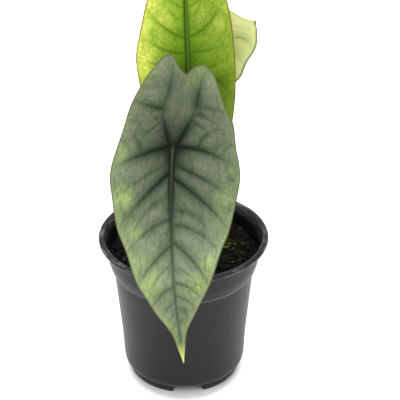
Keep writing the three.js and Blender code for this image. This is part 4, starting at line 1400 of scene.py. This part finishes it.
studio = {
    "floor": 6.0,
    "over": {"place": (0.0, 0.35, 1.7), "size": 1.6, "watts": 12},
    "key": {"place": (-0.9, -1.1, 1.3), "size": 0.9, "watts": 9},
    "fill": {"place": (1.2, -0.6, 0.9), "size": 1.0, "watts": 3},
    "surround": 0.8,
    "floorGlow": 0.16,
    "openGlow": 0.44,
    # the floor's glow seen by the camera fades out within this ring round the pot: a painted shadow
    "shadowRing": (0.0405, 0.0475),  # metres from the pot's middle over which the floor brightens
    "camera": {"place": (0, -0.90654, 0.67305), "down": 30.5825, "yaw": 0.73395, "lens": 136.08},
}


def areaLight(name, place, size, watts):
    data = bpy.data.lights.new(name, "AREA")
    data.energy = watts
    data.size = size
    light = bpy.data.objects.new(name, data)
    light.location = place
    light.rotation_euler = (Vector((0, 0, 0.15)) - light.location).to_track_quat("-Z", "Y").to_euler()
    bpy.context.scene.collection.objects.link(light)


for name in ("over", "key", "fill"):
    areaLight(name + "Light", **studio[name])

floorBm = bmesh.new()
bmesh.ops.create_grid(floorBm, x_segments=1, y_segments=1, size=studio["floor"])
floorMaterial, floorTree, floorShader = newMaterial("paleFloor", 0.2)
floorShader.inputs["Roughness"].default_value = 0.9
floorShader.inputs["Base Color"].default_value = (0.93, 0.93, 0.93, 1)
# Painted shadow: the camera sees the floor glow, less within the shadow ring; other rays see an even glow.
away = floorTree.nodes.new("ShaderNodeVectorMath")
away.operation = "LENGTH"
fromPot = scaledVector(floorTree, objectVector(floorTree), (1.1, 1, 1), (0, 0.004, 0))
floorTree.links.new(fromPot, away.inputs[0])
nearGlow, farGlow = studio["floorGlow"], studio["openGlow"]
ring = studio["shadowRing"]
glow = rangeNode(floorTree, away.outputs["Value"], *ring, -nearGlow, farGlow - nearGlow)
seenFloor = floorTree.nodes.new("ShaderNodeLightPath").outputs["Is Camera Ray"]
glow = mathNode(floorTree, "MULTIPLY_ADD", seenFloor, glow, nearGlow)
feed(floorTree, floorShader.inputs["Emission Color"], glow)
floorShader.inputs["Emission Strength"].default_value = 1
floor = bmeshObject(floorBm, "floor", floorMaterial)

world = bpy.data.worlds.new("studioWorld")
world.use_nodes = True
backdrop = world.node_tree.nodes["Background"]
backdrop.inputs["Color"].default_value = (1, 1, 1, 1)
seen = world.node_tree.nodes.new("ShaderNodeLightPath").outputs["Is Camera Ray"]
strength = mathNode(world.node_tree, "MULTIPLY_ADD", seen, 1 - studio["surround"], studio["surround"])
feed(world.node_tree, backdrop.inputs["Strength"], strength)
bpy.context.scene.world = world
bpy.context.scene.view_settings.view_transform = "Standard"

camera = bpy.data.cameras.new("camera")
camera.sensor_width = 36
camera.lens = studio["camera"]["lens"]
camera.clip_start, camera.clip_end = 0.01, 50
cameraObject = bpy.data.objects.new("camera", camera)
cameraObject.location = studio["camera"]["place"]
down, yaw = studio["camera"]["down"], studio["camera"]["yaw"]
cameraObject.rotation_euler = (math.radians(90 - down), 0, math.radians(-yaw))
bpy.context.scene.collection.objects.link(cameraObject)
bpy.context.scene.camera = cameraObject
print("studio made")
